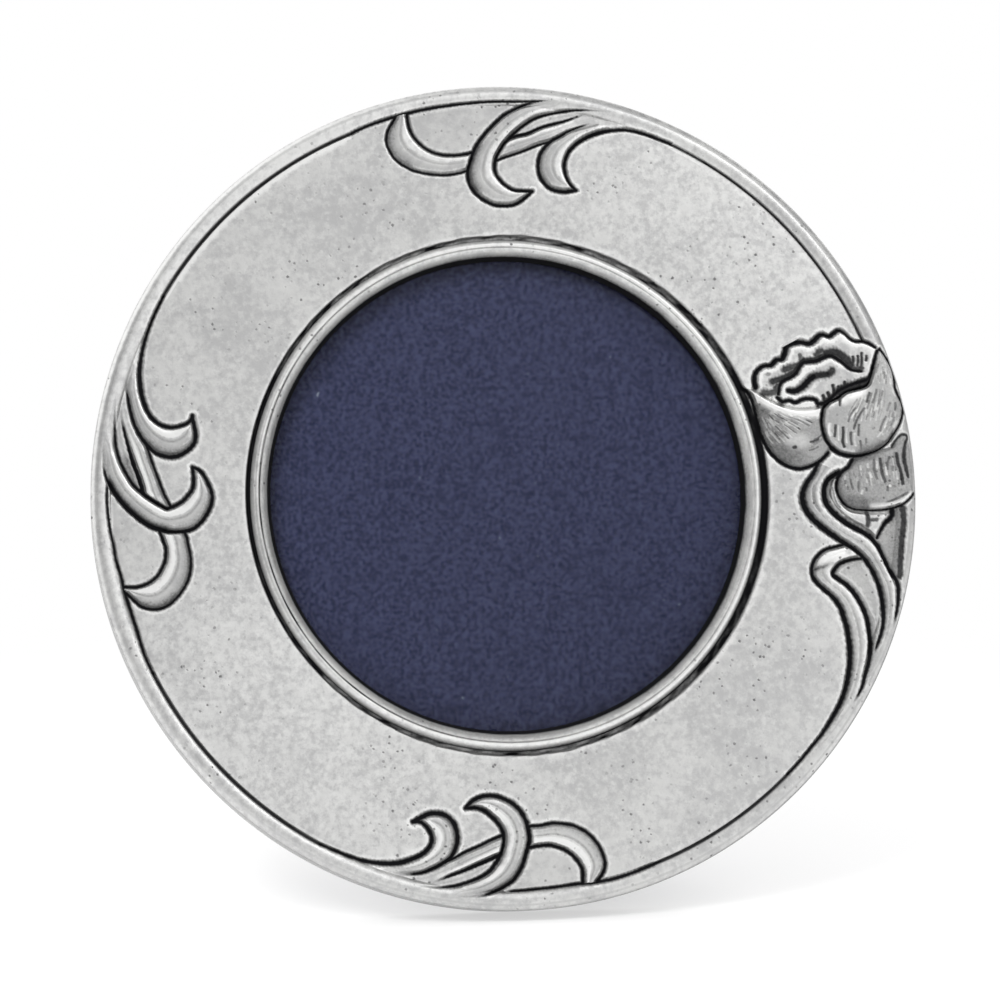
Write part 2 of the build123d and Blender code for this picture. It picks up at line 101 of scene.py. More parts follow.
class Wire:
    """A shader value. Operators on it add Math nodes, and node() adds any other node."""

    def __init__(self, tree, socket=None):
        self.tree = tree
        self.socket = socket

    def fill(self, node, inputs):
        """Sets the inputs of a node, or links them where the value is a wire."""
        for name, value in inputs.items():
            if isinstance(value, Wire):
                self.tree.links.new(value.socket, node.inputs[name])
            else:
                node.inputs[name].default_value = value

    def node(self, kind, settings=None, inputs=None, out=0):
        """A node of a type, with its settings made first, then its input values or links."""
        made = self.tree.nodes.new(kind)
        for name, value in (settings or {}).items():
            setattr(made, name, value)
        self.fill(made, inputs or {})
        return Wire(self.tree, made.outputs[out] if made.outputs else None)

    def math(self, operation, *values):
        """A Math node on values."""
        return self.node("ShaderNodeMath", {"operation": operation}, dict(enumerate(values)))

    def clamp(self, low, high, passage="SMOOTHSTEP"):
        """0 at low, 1 at high, with a smooth or a LINEAR passage between them."""
        limits = {"From Min": low, "From Max": high, "Value": self}
        return self.node("ShaderNodeMapRange", {"interpolation_type": passage}, limits)

    def __add__(self, other):
        return self.math("ADD", self, other)

    def __sub__(self, other):
        return self.math("SUBTRACT", self, other)

    def __rsub__(self, other):
        return self.math("SUBTRACT", other, self)

    def __mul__(self, other):
        return self.math("MULTIPLY", self, other)

    __radd__ = __add__
    __rmul__ = __mul__


def bare_tree(owner):
    """A wire in the emptied node tree of a world or a material."""
    owner.use_nodes = True
    owner.node_tree.nodes.clear()
    return Wire(owner.node_tree)


SURROUND_LEFT = 0.46
SURROUND_RIGHT = 0.98
SURROUND_TOP = 0.3
SURROUND_BEHIND = 0.5
SURROUND_BEHIND_LEFT = 0.7
SURROUND_LIGHT = 0.9

world = bpy.data.worlds.new("surround")
air = bare_tree(world)
seen = air.node("ShaderNodeLightPath", out="Is Camera Ray")
mirrored = air.node("ShaderNodeLightPath", out="Is Glossy Ray")
direction = air.node("ShaderNodeTexCoord", out="Generated")
sideways = air.node("ShaderNodeSeparateXYZ", inputs={0: direction}, out="X")
upwards = air.node("ShaderNodeSeparateXYZ", inputs={0: direction}, out="Z")
behind = air.node("ShaderNodeSeparateXYZ", inputs={0: direction}, out="Y").clamp(-0.45, 0.2)
metal_light = (
    SURROUND_LEFT + (SURROUND_RIGHT - SURROUND_LEFT) * sideways.clamp(-0.55, 0.22)
    + SURROUND_TOP * upwards.clamp(0.42, 0.85)
)
back_light = SURROUND_BEHIND + SURROUND_BEHIND_LEFT * sideways.clamp(0.25, -0.45)
metal_light = metal_light + (back_light - metal_light) * behind
strength = seen + (1 - seen) * (mirrored * metal_light + (1 - mirrored) * SURROUND_LIGHT)
background = air.node("ShaderNodeBackground", inputs={"Color": (1, 1, 1, 1), "Strength": strength})
air.node("ShaderNodeOutputWorld", inputs={"Surface": background})
bpy.context.scene.world = world

FLOOR_SIZE = 6.0
FLOOR_COLOUR = (0.9, 0.9, 0.9, 1.0)
FLOOR_WHITE = 0.5
SHADOW_REACH = (0.05, 0.20)

floor_mesh = bpy.data.meshes.new("floor")
half = FLOOR_SIZE / 2
floor_mesh.from_pydata(
    [(-half, -half, 0), (half, -half, 0), (half, half, 0), (-half, half, 0)], [], [(0, 1, 2, 3)]
)
floor = bpy.data.objects.new("floor", floor_mesh)
bpy.context.scene.collection.objects.link(floor)
floor_paint = bpy.data.materials.new("floor_paint")
paint = bare_tree(floor_paint)
straight = paint.node("ShaderNodeLightPath", out="Is Camera Ray")
straight = straight + paint.node("ShaderNodeLightPath", out="Is Glossy Ray")
straight = straight + paint.node("ShaderNodeLightPath", out="Is Transmission Ray")
lit = paint.node("ShaderNodeBsdfDiffuse", inputs={"Color": FLOOR_COLOUR})
white = paint.node("ShaderNodeEmission", inputs={"Color": (1, 1, 1, 1), "Strength": 1.0})
place = paint.node("ShaderNodeTexCoord", out="Object")
away = paint.node("ShaderNodeVectorMath", {"operation": "LENGTH"}, {0: place}, out="Value")
share = FLOOR_WHITE + (1 - FLOOR_WHITE) * away.clamp(*SHADOW_REACH)
both = paint.node("ShaderNodeMixShader", inputs={0: straight * share, 1: lit, 2: white})
paint.node("ShaderNodeOutputMaterial", inputs={"Surface": both})
floor_mesh.materials.append(floor_paint)


def soft_lamp(name, place, size, power, in_metal):
    """A square soft lamp that looks at the middle of the frame."""
    data = bpy.data.lights.new(name, "AREA")
    data.size = size
    data.energy = power
    lamp = bpy.data.objects.new(name, data)
    lamp.location = place
    lamp.rotation_euler = (AIM - lamp.location).to_track_quat("-Z", "Y").to_euler()
    lamp.visible_glossy = in_metal
    bpy.context.scene.collection.objects.link(lamp)


soft_lamp("lamp_upper_left", Vector((-0.45, -0.6, 0.75)), 0.35, 6.0, False)
soft_lamp("lamp_behind", Vector((-0.2, 0.7, 0.9)), 0.8, 5.0, False)
soft_lamp("lamp_upper_right", Vector((0.42, -0.35, 0.6)), 0.3, 0.6, True)

# Border casting: pewter, cast in one with its bead, engraved lines and rim, then blackened and rubbed
# bright, so that the black stays in the lines. The raised ornament follows in the next sections.
# Painted shade and painted highlights are stored with the black of the lines, one value for each point.
OUTER_R = 55.0
REBATE_R = 36.2
RECESS_R = 46.4
RECESS_N = 2.4
REBATE_N = 5.0
FIELD_N = 6.2
FIELD_CROWN = 0.16
FIELD_LIGHTENING = 0.25
LIGHTENING_AT = radians(42)
BEAD_FOOT_R = 34.15
RIM_FOOT_R = 52.61
RIM_MIDDLE = (53.6, 5.6)
RIM_ROUND = 1.4
RIM_LINE_R = 52.5
RIM_LINE_W = 0.36
RIM_LINE_DEPTH = 0.38
RIM_FAINT_R = 54.2
RIM_FAINT_W = 0.2
BEAD_LINE_W = 0.68
BEAD_LINE_DEPTH = 0.42
LIP_R = 31.4
BEAD_SECTION = [
    (31.42, 5.1), (31.62, 5.6), (31.85, 6.05), (31.95, 6.3), (32.12, 6.62), (32.4, 6.92), (32.68, 7.17),
    (32.84, 7.28), (32.92, 7.2), (33.0, 7.2), (33.1, 7.34), (33.24, 7.42), (33.45, 7.36), (33.65, 7.2),
    (33.85, 6.95), (34.05, 6.55), (34.15, 6.0),
]
# On the bead's section: black on its inner wall is painted shadow, values below 0 are painted highlights on
# its ridges, and the rest is the black of its lines.
BEAD_PATINA_AND_LIGHT = [1.0, 1.0, 1.0, 0.7, 0.3, 0.12, -0.3, -0.2, 0.5, 0.5, -0.3, -0.7, -0.5, 0.0, 0.45, 0.9, 1.0]


def smooth(low, high, value):
    """0 at low, 1 at high, with a smooth passage between them."""
    share = np.clip((value - low) / (high - low), 0, 1)
    return share * share * (3 - 2 * share)


def plain_face(r, angle, rim_line=1.0):
    """Height and blackness of the face without ornament: a crowned field that meets the rim's round, a
    black line along the rim, a fainter one on it, a groove round the bead that is widest on the right,
    where its black also stands for painted shadow, painted highlights on the rim and painted shade at its
    outer edge."""
    span = np.clip((r - BEAD_FOOT_R) / (RIM_FOOT_R - BEAD_FOOT_R), 0, 1)
    field = FIELD_N + FIELD_CROWN * 4 * span * (1 - span)
    reach = np.clip(RIM_ROUND**2 - (r - RIM_MIDDLE[0])**2, 0, None)
    rim = np.where(r > RIM_MIDDLE[0] - RIM_ROUND, RIM_MIDDLE[1] + np.sqrt(reach), 0)
    n = np.maximum(field, rim)
    ripples = [(13, 2.0, 0.4), (22, -3.1, 1.7), (37, 4.3, 2.9), (53, -5.2, 4.1), (84, 6.4, 5.3)]
    ragged = sum(np.sin(f * angle + s * r + p) for f, s, p in ripples) / 3 * np.sin(angle)**2
    # The groove is wider on the right, and its black there also stands for painted shadow.
    bead_w = (BEAD_LINE_W + 0.2 * np.cos(angle) + 0.08 * np.cos(2 * angle)) * (1 + 0.13 * ragged)
    bead_d = (r - BEAD_FOOT_R) / bead_w
    n = n - BEAD_LINE_DEPTH * (1 - smooth(0.5, 1.2, bead_d))
    patina = (1 - smooth(0.85, 1.15, bead_d)) * (1 - 0.3 * np.sin(angle)**4 - 0.28 * ragged)
    # A painted highlight just outside the groove.
    patina = patina - 0.4 * smooth(1.1, 1.3, bead_d) * (1 - smooth(1.4, 2.2, bead_d))
    open_field = smooth(1.2, 2.2, bead_d) * (1 - smooth(RIM_LINE_R - 1.5, RIM_LINE_R - 0.3, r))
    # The open field is lighter in a broad band through 42 degrees and the side opposite.
    lobe = np.cos(angle - LIGHTENING_AT)
    patina = patina - FIELD_LIGHTENING * lobe**2 * (1 - 0.15 * lobe) * open_field
    rim_w = RIM_LINE_W * (1 + 0.28 * np.cos(angle - radians(215))) / 2
    rim_d = np.abs(r - RIM_LINE_R) / rim_w
    n = n - rim_line * RIM_LINE_DEPTH * (1 - smooth(0.3, 1.5, rim_d))
    faint_d = np.abs(r - RIM_FAINT_R) / RIM_FAINT_W
    edge = 0.42 * (1 - smooth(0.3, 1.2, faint_d)) * (0.7 + 0.3 * np.sin(angle))
    # Painted highlights on the rim, strongest at the upper left, and painted shade along its outer edge,
    # strongest at the lower right.
    upper_left = (0.5 - 0.5 * np.cos(angle + pi / 4))**2
    edge = edge - 0.6 * smooth(RIM_FAINT_R + 0.15, RIM_FAINT_R + 0.35, r) * upper_left
    edge = edge + (0.2 + 0.2 * np.cos(angle + pi / 4)) * smooth(OUTER_R - 0.25, OUTER_R - 0.1, r)
    edge = edge - (0.05 + 0.35 * upper_left) * (1 - smooth(0.9, 1.3, np.abs(r - RIM_LINE_R - 0.75)))
    # A painted highlight beside the rim's line, strongest at the upper left.
    beside_line = 1 - smooth(0.12, 0.25, np.abs(r - RIM_LINE_R + 0.5))
    edge = edge - (0.25 + 0.45 * upper_left) * rim_line * beside_line
    line = 0.97 * rim_line * (1 - smooth(0.6, 1.6, rim_d))
    return n, np.where(line > 0.02, line, patina + edge)


def mesh_object(name, points, faces, material):
    """An object at the origin with smooth faces over an array of points in metres."""
    mesh = bpy.data.meshes.new(name)
    mesh.from_pydata(points.reshape(-1, 3), [], faces)
    mesh.polygons.foreach_set("use_smooth", np.ones(len(mesh.polygons), bool))
    mesh.materials.append(material)
    made = bpy.data.objects.new(name, mesh)
    bpy.context.scene.collection.objects.link(made)
    return made


def grid_faces(rows, columns, close_rows=False, close_columns=False):
    """Quads of a grid of points, numbered row by row, that may close on itself."""
    row = np.arange(rows if close_rows else rows - 1)[:, None]
    column = np.arange(columns if close_columns else columns - 1)[None, :]
    row_next = (row + 1) % rows
    column_next = (column + 1) % columns
    corners = (
        row * columns + column, row * columns + column_next,
        row_next * columns + column_next, row_next * columns + column,
    )
    return np.stack([c.ravel() for c in np.broadcast_arrays(*corners)], -1)


def fit(made, body, node):
    """Puts a piece on its body, in the place of a CAD node, which it hides."""
    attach(made, body)
    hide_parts(node)


def paint_patina(piece, values):
    """Stores how black each point is, with painted shade: 1 in a line, below 0 where rubbed bright and
    where a highlight is painted.
    """
    layer = piece.data.attributes.new("patina", "FLOAT", "POINT")
    layer.data.foreach_set("value", np.asarray(values, np.float32).ravel())


# The bright pewter below serves both rubbed metal and painted highlights; the near-black one both the black
# of the lines and painted shade.
PEWTER = (0.70, 0.70, 0.69, 1.0)
PEWTER_DULL = (0.53, 0.53, 0.53, 1.0)
PEWTER_RUBBED_AND_HIGHLIGHT = (0.91, 0.91, 0.90, 1.0)
PATINA_AND_SHADE_BLACK = (0.006, 0.006, 0.007, 1.0)


def new_finish(name):
    """A material with one Principled shader: (material, wire to add nodes with, shader node)."""
    material = bpy.data.materials.new(name)
    material.use_nodes = True
    shader = material.node_tree.nodes["Principled BSDF"]
    return material, Wire(material.node_tree), shader


def noise(wire, scale, detail, roughness, along=None):
    """Soft noise about 0.5 on Object coordinates: a scale in cells per metre, times a share for each axis
    where the cells are drawn out."""
    vector = wire.node("ShaderNodeTexCoord", out="Object")
    if along:
        vector = wire.node("ShaderNodeMapping", inputs={"Vector": vector, "Scale": along})
    values = {"Vector": vector, "Scale": scale, "Detail": detail, "Roughness": roughness}
    return wire.node("ShaderNodeTexNoise", inputs=values)


def bump(wire, strength, distance, height):
    """Normal of a surface made rough by a height, over a distance in metres."""
    values = {"Strength": strength, "Distance": distance, "Height": height}
    return wire.node("ShaderNodeBump", inputs=values)


def blend(wire, share, first, second):
    """Colour from first to second by a share."""
    return wire.node("ShaderNodeMix", {"data_type": "RGBA"}, {0: share, 6: first, 7: second}, out=2)


pewter, metal, pewter_shader = new_finish("pewter")
film = metal.node("ShaderNodeAttribute", {"attribute_name": "patina"}, out="Fac")
cloud = noise(metal, 85.0, 4.0, 0.65)
mottle = noise(metal, 420.0, 3.0, 0.6)
wear = noise(metal, 1100.0, 3.0, 0.65)
grain = noise(metal, 3000.0, 2.0, 0.6)
cells = {"Vector": metal.node("ShaderNodeTexCoord", out="Object"), "Scale": 900.0}
pit_middle = metal.node("ShaderNodeTexVoronoi", inputs=cells, out="Distance")
pit_patch = noise(metal, 110.0, 2.0, 0.5).clamp(0.46, 0.64)
pits = (1 - (pit_middle + 0.35 * wear + 0.2 * grain).clamp(0.35, 0.5)) * (0.08 + 0.92 * pit_patch)
tone = (0.34 * cloud + 0.2 * mottle + 0.38 * wear + 0.08 * grain).clamp(0.4, 0.6)
tone = blend(metal, tone, PEWTER_DULL, PEWTER)
# Bright where the metal is worn, and where the stored value is below 0 as a painted highlight.
tone = blend(metal, (0.8 * (wear - 0.5) - film).clamp(0.0, 0.8), tone, PEWTER_RUBBED_AND_HIGHLIGHT)
streaks = (0.6 * mottle + 0.4 * wear).clamp(0.52, 0.72)
# Black from the lines and from painted shade, both held in the stored value.
black = film.clamp(0.0, 1.0, "LINEAR")
uneven = 4.5 * black * (1 - black) * (0.5 * wear + 0.5 * grain - 0.5)
dark = black + uneven + (0.75 * pits + 0.14 * streaks) * (1 - black)
dark = dark.clamp(0.0, 1.0, "LINEAR")
metal.fill(pewter_shader, {
    "Base Color": blend(metal, dark, tone, PATINA_AND_SHADE_BLACK),
    "Roughness": 0.30 + 0.14 * cloud + 0.08 * wear + 0.25 * dark,
    "Metallic": 1 - 0.8 * dark,
    "Specular IOR Level": 0.05,
    "Normal": bump(metal, 0.25, 0.0001, wear + 0.6 * mottle - 2.0 * pits),
})

TRENCH_DEPTH = 0.95
SECTORS = {"top": (58.0, 113.0), "left": (146.0, 207.0), "bottom": (236.0, 291.0), "flower": (-50.0, 27.5)}
SECTOR_INNER_R = {"top": 37.6, "left": 37.6, "bottom": 38.2, "flower": 34.3}
SECTOR_OUTER_R = 54.9
SECTOR_LAP = 1.0
TRENCH_INSIDE = 0.4
TRENCH_OUTSIDE = 0.15
GROOVE_OUTER_R = 35.3
FIELD_OUTER_R = 51.9
RIM_FOOT_OUTER_R = RIM_FOOT_R + 0.3
BACK_EDGE = 0.3
BACK_MIDDLE_R = 50.7
SIDE_MIDDLE_N = 3.0
COLUMNS = 720
CASTING_SHARP = radians(50)


def trench(r, angle):
    """1 under the ornament's own surfaces, 0 elsewhere, so that the casting stays below them."""
    deep = np.zeros(np.broadcast(r, angle).shape)
    for name, (first, last) in SECTORS.items():
        middle, half_span = radians((first + last) / 2), radians((last - first) / 2 - SECTOR_LAP)
        away = np.abs((angle - middle + pi) % (2 * pi) - pi)
        inner = SECTOR_INNER_R[name]
        under = (r > inner + TRENCH_INSIDE) * (r < SECTOR_OUTER_R - TRENCH_OUTSIDE)
        deep = np.maximum(deep, (away < half_span) * under)
    return deep


rim_turn = np.radians(np.linspace(150, -8, 22))
rim_r = RIM_MIDDLE[0] + RIM_ROUND * np.cos(rim_turn)
lap_r = np.array(sorted(set(SECTOR_INNER_R.values())))[:, None] + np.array([0.1, 0.3, 0.5])
front_r = np.unique(np.concatenate([
    np.linspace(BEAD_FOOT_R + 0.02, GROOVE_OUTER_R, 22), np.linspace(GROOVE_OUTER_R, FIELD_OUTER_R, 24),
    lap_r.ravel(), np.linspace(FIELD_OUTER_R, RIM_FOOT_OUTER_R, 16),
    rim_r[rim_r > RIM_FOOT_OUTER_R][:-2], [54.7, 54.8, 54.9],
]))
back_section = np.array([
    (OUTER_R, RIM_MIDDLE[1]), (OUTER_R, SIDE_MIDDLE_N), (OUTER_R, BACK_EDGE), (OUTER_R - BACK_EDGE, 0.0),
    (BACK_MIDDLE_R, 0.0), (RECESS_R, 0.0), (RECESS_R, RECESS_N), (REBATE_R, RECESS_N),
    (REBATE_R, REBATE_N), (LIP_R, REBATE_N),
])
# The last value blackens the window's inner wall as painted shadow, the first darkens the rim's outer edge
# as painted shade.
BACK_PATINA_AND_LIGHT = [0.35, 0.3, 0.2, 0.15, 0.2, 0.3, 0.5, 0.45, 0.6, 1.0]
angle = np.linspace(0, 2 * pi, COLUMNS, endpoint=False)[None, :]
face_n, face_patina = plain_face(front_r[:, None], angle)
face_n = face_n - TRENCH_DEPTH * trench(front_r[:, None], angle)
bead = np.array(BEAD_SECTION)
section_r = np.concatenate([bead[:, 0], front_r, back_section[:, 0]])[:, None]
still = np.ones_like(angle)
section_n = np.concatenate([bead[:, 1:] * still, face_n, back_section[:, 1:] * still])
bead_patina = np.array(BEAD_PATINA_AND_LIGHT)[:, None] * still
# Painted shade on the bead: darker at the right on its outer and inner flanks, darker at the left on its
# ridges and lighter at the right.
bead_patina[-4:-1] += 0.35 * np.cos(angle)
bead_left = 0.5 - 0.5 * np.cos(angle - 0.4)
bead_patina[7:11] += (bead_left**2 - 0.45) * (0.8 + 0.4 * np.sin(9 * angle) * np.sin(23 * angle))
bead_patina[11:13] += 0.6 * smooth(0.9, 1.0, bead_left)
bead_patina[3:6] += 0.12 * np.sin(31 * angle) * np.sin(17 * angle) + 0.14 * np.cos(angle)
back_patina = np.array(BACK_PATINA_AND_LIGHT)[:, None] * still
casting_patina = np.concatenate([bead_patina, face_patina, back_patina])
casting = mesh_object(
    "border_casting",
    on_face(section_r * np.cos(angle), section_r * np.sin(angle), section_n),
    grid_faces(len(section_r), COLUMNS, True, True)[:, ::-1],
    pewter,
)
casting.data.set_sharp_from_angle(angle=CASTING_SHARP)
paint_patina(casting, casting_patina)
fit(casting, "frame", "frame_casting")

# Tendrils: three clusters of two hooked tendrils over a third, raised from the border in the same metal.
# They spring from the rim, and each one's edges are cut in and left black.
SPACING = 0.1
SPACING_R = 50
RIBBON_ROOT = 0.15
STROKE_DEPTH = 0.06
STROKE_TAPER = (0.4, 0.4)
SLAB_LIFT = 0.003
SLAB_FLOOR = REBATE_N + 0.12


def through(points, step=6):
    """A smooth line through points: cubic spans whose slope at a point is half the step across it."""
    points = np.array(points, float)
    padded = np.concatenate([2 * points[:1] - points[1:2], points, 2 * points[-1:] - points[-2:-1]])
    slope = (padded[2:] - padded[:-2]) / 2
    t = np.linspace(0, 1, step, endpoint=False)[None, :, None]
    a, b = points[:-1, None], points[1:, None]
    u, v = slope[:-1, None], slope[1:, None]
    spans = a + t * u + t**2 * (3 * (b - a) - 2 * u - v) + t**3 * (2 * (a - b) + u + v)
    return np.concatenate([spans.reshape(-1, 2), points[-1:]])


def walled(x, y, n, floor, place):
    """Closed slab under a grid of points: a wall down from its border to a floor, and a flat underside.
    Gives points, faces and the numbers of the border's points."""
    rows, columns = n.shape
    number = np.arange(n.size).reshape(rows, columns)
    border = np.concatenate([number[0, :-1], number[:-1, -1], number[-1, :0:-1], number[:0:-1, 0]])
    under = place(x.ravel()[border], y.ravel()[border], floor)
    lower = n.size + np.arange(len(border))
    wall = np.stack([border, np.roll(border, -1), np.roll(lower, -1), lower], -1)
    faces = grid_faces(rows, columns)[:, ::-1].tolist() + wall.tolist() + [lower.tolist()]
    return np.concatenate([place(x, y, n).reshape(-1, 3), under]), faces, border


class Relief:
    """The worked face of one sector of the border: height and patina on a polar grid of points."""

    def __init__(self, first, last, inner_r, rim_ends, rim_starts):
        """The rim's own line ends at one angle, where the ornament's lines take over, and starts again at
        another, in degrees."""
        self.rows = int((SECTOR_OUTER_R - inner_r) / SPACING)
        self.columns = int(radians(last - first) * SPACING_R / SPACING)
        self.r = np.linspace(inner_r, SECTOR_OUTER_R, self.rows)[:, None]
        self.angle = np.radians(np.linspace(first, last, self.columns))[None, :]
        self.x = self.r * np.cos(self.angle)
        self.y = self.r * np.sin(self.angle)
        degrees = np.degrees(self.angle)
        low, high = sorted((rim_ends, rim_starts))
        rim_line = smooth(high - 0.5, high + 0.1, degrees) + 1 - smooth(low - 0.1, low + 0.5, degrees)
        self.body, self.patina = plain_face(self.r, self.angle, rim_line)
        self.base = self.body.copy()
        self.sink = np.zeros(self.x.shape)
        waves = [(3.3 * k, 2.4 * k) for k in range(1, 5)]
        self.hand = sum(np.sin(f * (self.x * cos(a) + self.y * sin(a)) + a) for f, a in waves) / 2

    def distance(self, line, reach):
        """Distance of each point from a line, up to a reach, how far along it the nearest place is, and the
        line's length."""
        found = np.full(self.x.shape, float(reach))
        along = np.zeros(self.x.shape)
        low, high = line.min(0) - reach, line.max(0) + reach
        near = (self.x > low[0]) & (self.x < high[0]) & (self.y > low[1]) & (self.y < high[1])
        x, y = self.x[near], self.y[near]
        best = np.full(x.shape, float(reach) ** 2)
        where = np.zeros(x.shape)
        walked = 0.0
        for (ax, ay), (bx, by) in zip(line[:-1], line[1:]):
            sx, sy = bx - ax, by - ay
            long = max(sx * sx + sy * sy, 1e-9)
            share = np.clip(((x - ax) * sx + (y - ay) * sy) / long, 0, 1)
            apart = (x - ax - share * sx)**2 + (y - ay - share * sy)**2
            closer = apart < best
            best = np.where(closer, apart, best)
            where = np.where(closer, walked + share * long**0.5, where)
            walked += long**0.5
        found[near] = np.sqrt(best)
        along[near] = where
        return found, along, walked

    def inside(self, outline):
        """True inside a closed outline, by counting its crossings to the right of a point."""
        odd = np.zeros(self.x.shape, bool)
        for (ax, ay), (bx, by) in zip(outline, np.roll(outline, -1, axis=0)):
            if ay != by:
                crossing = ax + (self.y - ay) * (bx - ax) / (by - ay)
                odd ^= ((ay > self.y) != (by > self.y)) & (self.x < crossing)
        return odd

    def cut(self, points, width, depth, taper=(0.0, 0.0), black=1.0, edge_highlight=0.38):
        """Cuts a black line with a round bottom along a smooth line, a little uneven, as wide as one value
        or as several spaced along it, tapering over a length at each end, with a painted highlight beside
        it.
        With black below 0 it paints a highlight in place of the line."""
        apart, along, total = self.distance(through(points), max(1.4, 1.8 * np.max(width)))
        strength = np.ones(self.x.shape)
        if taper[0]:
            strength *= smooth(0, taper[0], along)
        if taper[1]:
            strength *= smooth(0, taper[1], total - along)
        widths = np.atleast_1d(width)
        wide = np.interp(along / total, np.linspace(0, 1, len(widths)), widths)
        wide = wide * (1 + 0.1 * self.hand) / 2 * (0.45 + 0.55 * strength)
        share = apart / wide
        self.sink = np.maximum(self.sink, depth * strength * (1 - smooth(0.2, 1.5, share)))
        line = black * np.minimum(1, 1.5 * strength) * (1 - smooth(0.5, 1.55, share))
        # A painted highlight beside the line.
        bright = edge_highlight * black * strength * smooth(1.2, 1.7, share) * (1 - smooth(1.9, 3.0, share))
        self.patina = np.where(self.patina > 0.4, self.patina, self.patina - bright)
        lighter = self.patina + np.minimum(line, 0)
        self.patina = np.where(line > 0.02, np.maximum(self.patina, line), lighter)

    def ribbon(self, outer, inner, top, crest, ridge, root=None, fold=0.5, film=1.0, foot=0.0):
        """Raises a ribbon between two edges, with a rounded crest at a share of the way from the outer edge
        to the inner one and a fine fold beside it, sinking into the rim about its root (x, y, radius). Its
        edges fall steeply to the field, or stay at a foot, a share of the height. Its colour is painted
        shade towards the outer edge and in the fold, and a painted highlight beside the crest, at a given
        weight."""
        outer, inner = through(outer), through(inner)
        within = self.inside(np.concatenate([outer, inner[::-1]]))
        from_outer = self.distance(outer, 6.0)[0]
        from_inner = self.distance(inner, 6.0)[0]
        edge = np.minimum(from_outer, from_inner)
        share = from_outer / (from_outer + from_inner + 1e-6)
        climb = np.where(share < crest, share / crest, (1 - share) / (1 - crest))
        form = top * (1 - ridge + ridge * (1 - (1 - climb)**2))
        crease = (1 - smooth(0.0, 0.09, np.abs(share - fold))) if fold else 0
        flank = foot + (1 - foot) * smooth(0, 0.55, edge)
        raised = FIELD_N - RIBBON_ROOT + (form + RIBBON_ROOT) * flank - 0.05 * crease
        raised = np.maximum(raised, self.base)
        hold = 1.0
        if root:
            hold = smooth(0.3, 1.0, np.hypot(self.x - root[0], self.y - root[1]) / root[2])
            raised = self.base + (raised - self.base) * hold
        # Painted shade towards the outer edge and in the fold, and a painted highlight beside the crest.
        bright = smooth(0.56, 0.66, share) * (1 - 0.75 * smooth(0.74, 0.86, share))
        shade = 0.54 * (1 - smooth(0.05, 0.55, share)) + 0.42 * crease - 0.75 * bright
        self.body = np.where(within, raised, self.body)
        self.sink = np.where(within, 0, self.sink)
        self.patina = np.where(within, film * shade * (0.35 + 0.65 * hold), self.patina)

    def paint_light_and_shade(self, outline, line, near, far, reach):
        """Paints shade inside an outline, and a highlight where the value is below 0: one value on a line,
        changing to another at a reach from it.
        """
        apart = self.distance(through(line), reach)[0]
        more = near + (far - near) * smooth(0, reach, apart)
        self.patina = np.where(self.inside(through(outline)), self.patina + more, self.patina)

    def paint_soft_shade(self, points, reach, film):
        """Paints soft uneven shade about a line: most on the line, none at a reach from it."""
        apart = self.distance(through(points), 1.6 * reach)[0]
        spot = film * (1 - smooth(0.35, 1.0, apart / reach * (1 + 0.13 * self.hand)))
        self.patina = np.where(spot > 0.02, np.maximum(self.patina, spot), self.patina)

    def strokes(self, first, last, count, width, black, cover):
        """Cuts fine uneven strokes along lines that pass from one guide to another with as many points.
        Each covers a part of its line: cover gives how far starts wander and how long strokes are, as
        shares of it."""
        # A black below 0 makes the strokes painted highlights.
        first, last = np.array(first, float), np.array(last, float)
        for k in range(count):
            share = (k + 0.3 * sin(7.1 * k)) / (count - 1)
            guide = through(first + (last - first) * share, 24)
            start = cover[0] * (1 + sin(4.3 * k + count))
            end = min(1.0, start + cover[1] * (1 + 0.4 * sin(2.9 * k + 1)))
            part = guide[int(start * len(guide)):int(end * len(guide)) + 1]
            few = part[::max(1, len(part) // 5)]
            wide = width * (1 + 0.25 * sin(3.7 * k))
            weight = black * (1 + 0.25 * sin(5.1 * k))
            self.cut(few, wide, STROKE_DEPTH, STROKE_TAPER, weight, 0.0)

    def piece(self, name):
        """The sector as a closed slab, with its worked face sharp at the border."""
        worked = self.body - self.sink + SLAB_LIFT
        points, faces, border = walled(self.x, self.y, worked, SLAB_FLOOR, on_face)
        made = mesh_object(name, points, faces, pewter)
        on_border = np.zeros(len(points), bool)
        on_border[border] = True
        ends = np.zeros(2 * len(made.data.edges), np.int32)
        made.data.edges.foreach_get("vertices", ends)
        made.data.edges.foreach_set("use_edge_sharp", on_border[ends.reshape(-1, 2)].all(1))
        paint_patina(made, np.concatenate([self.patina.ravel(), np.zeros(len(border))]))
        fit(made, "frame", "frame_casting")
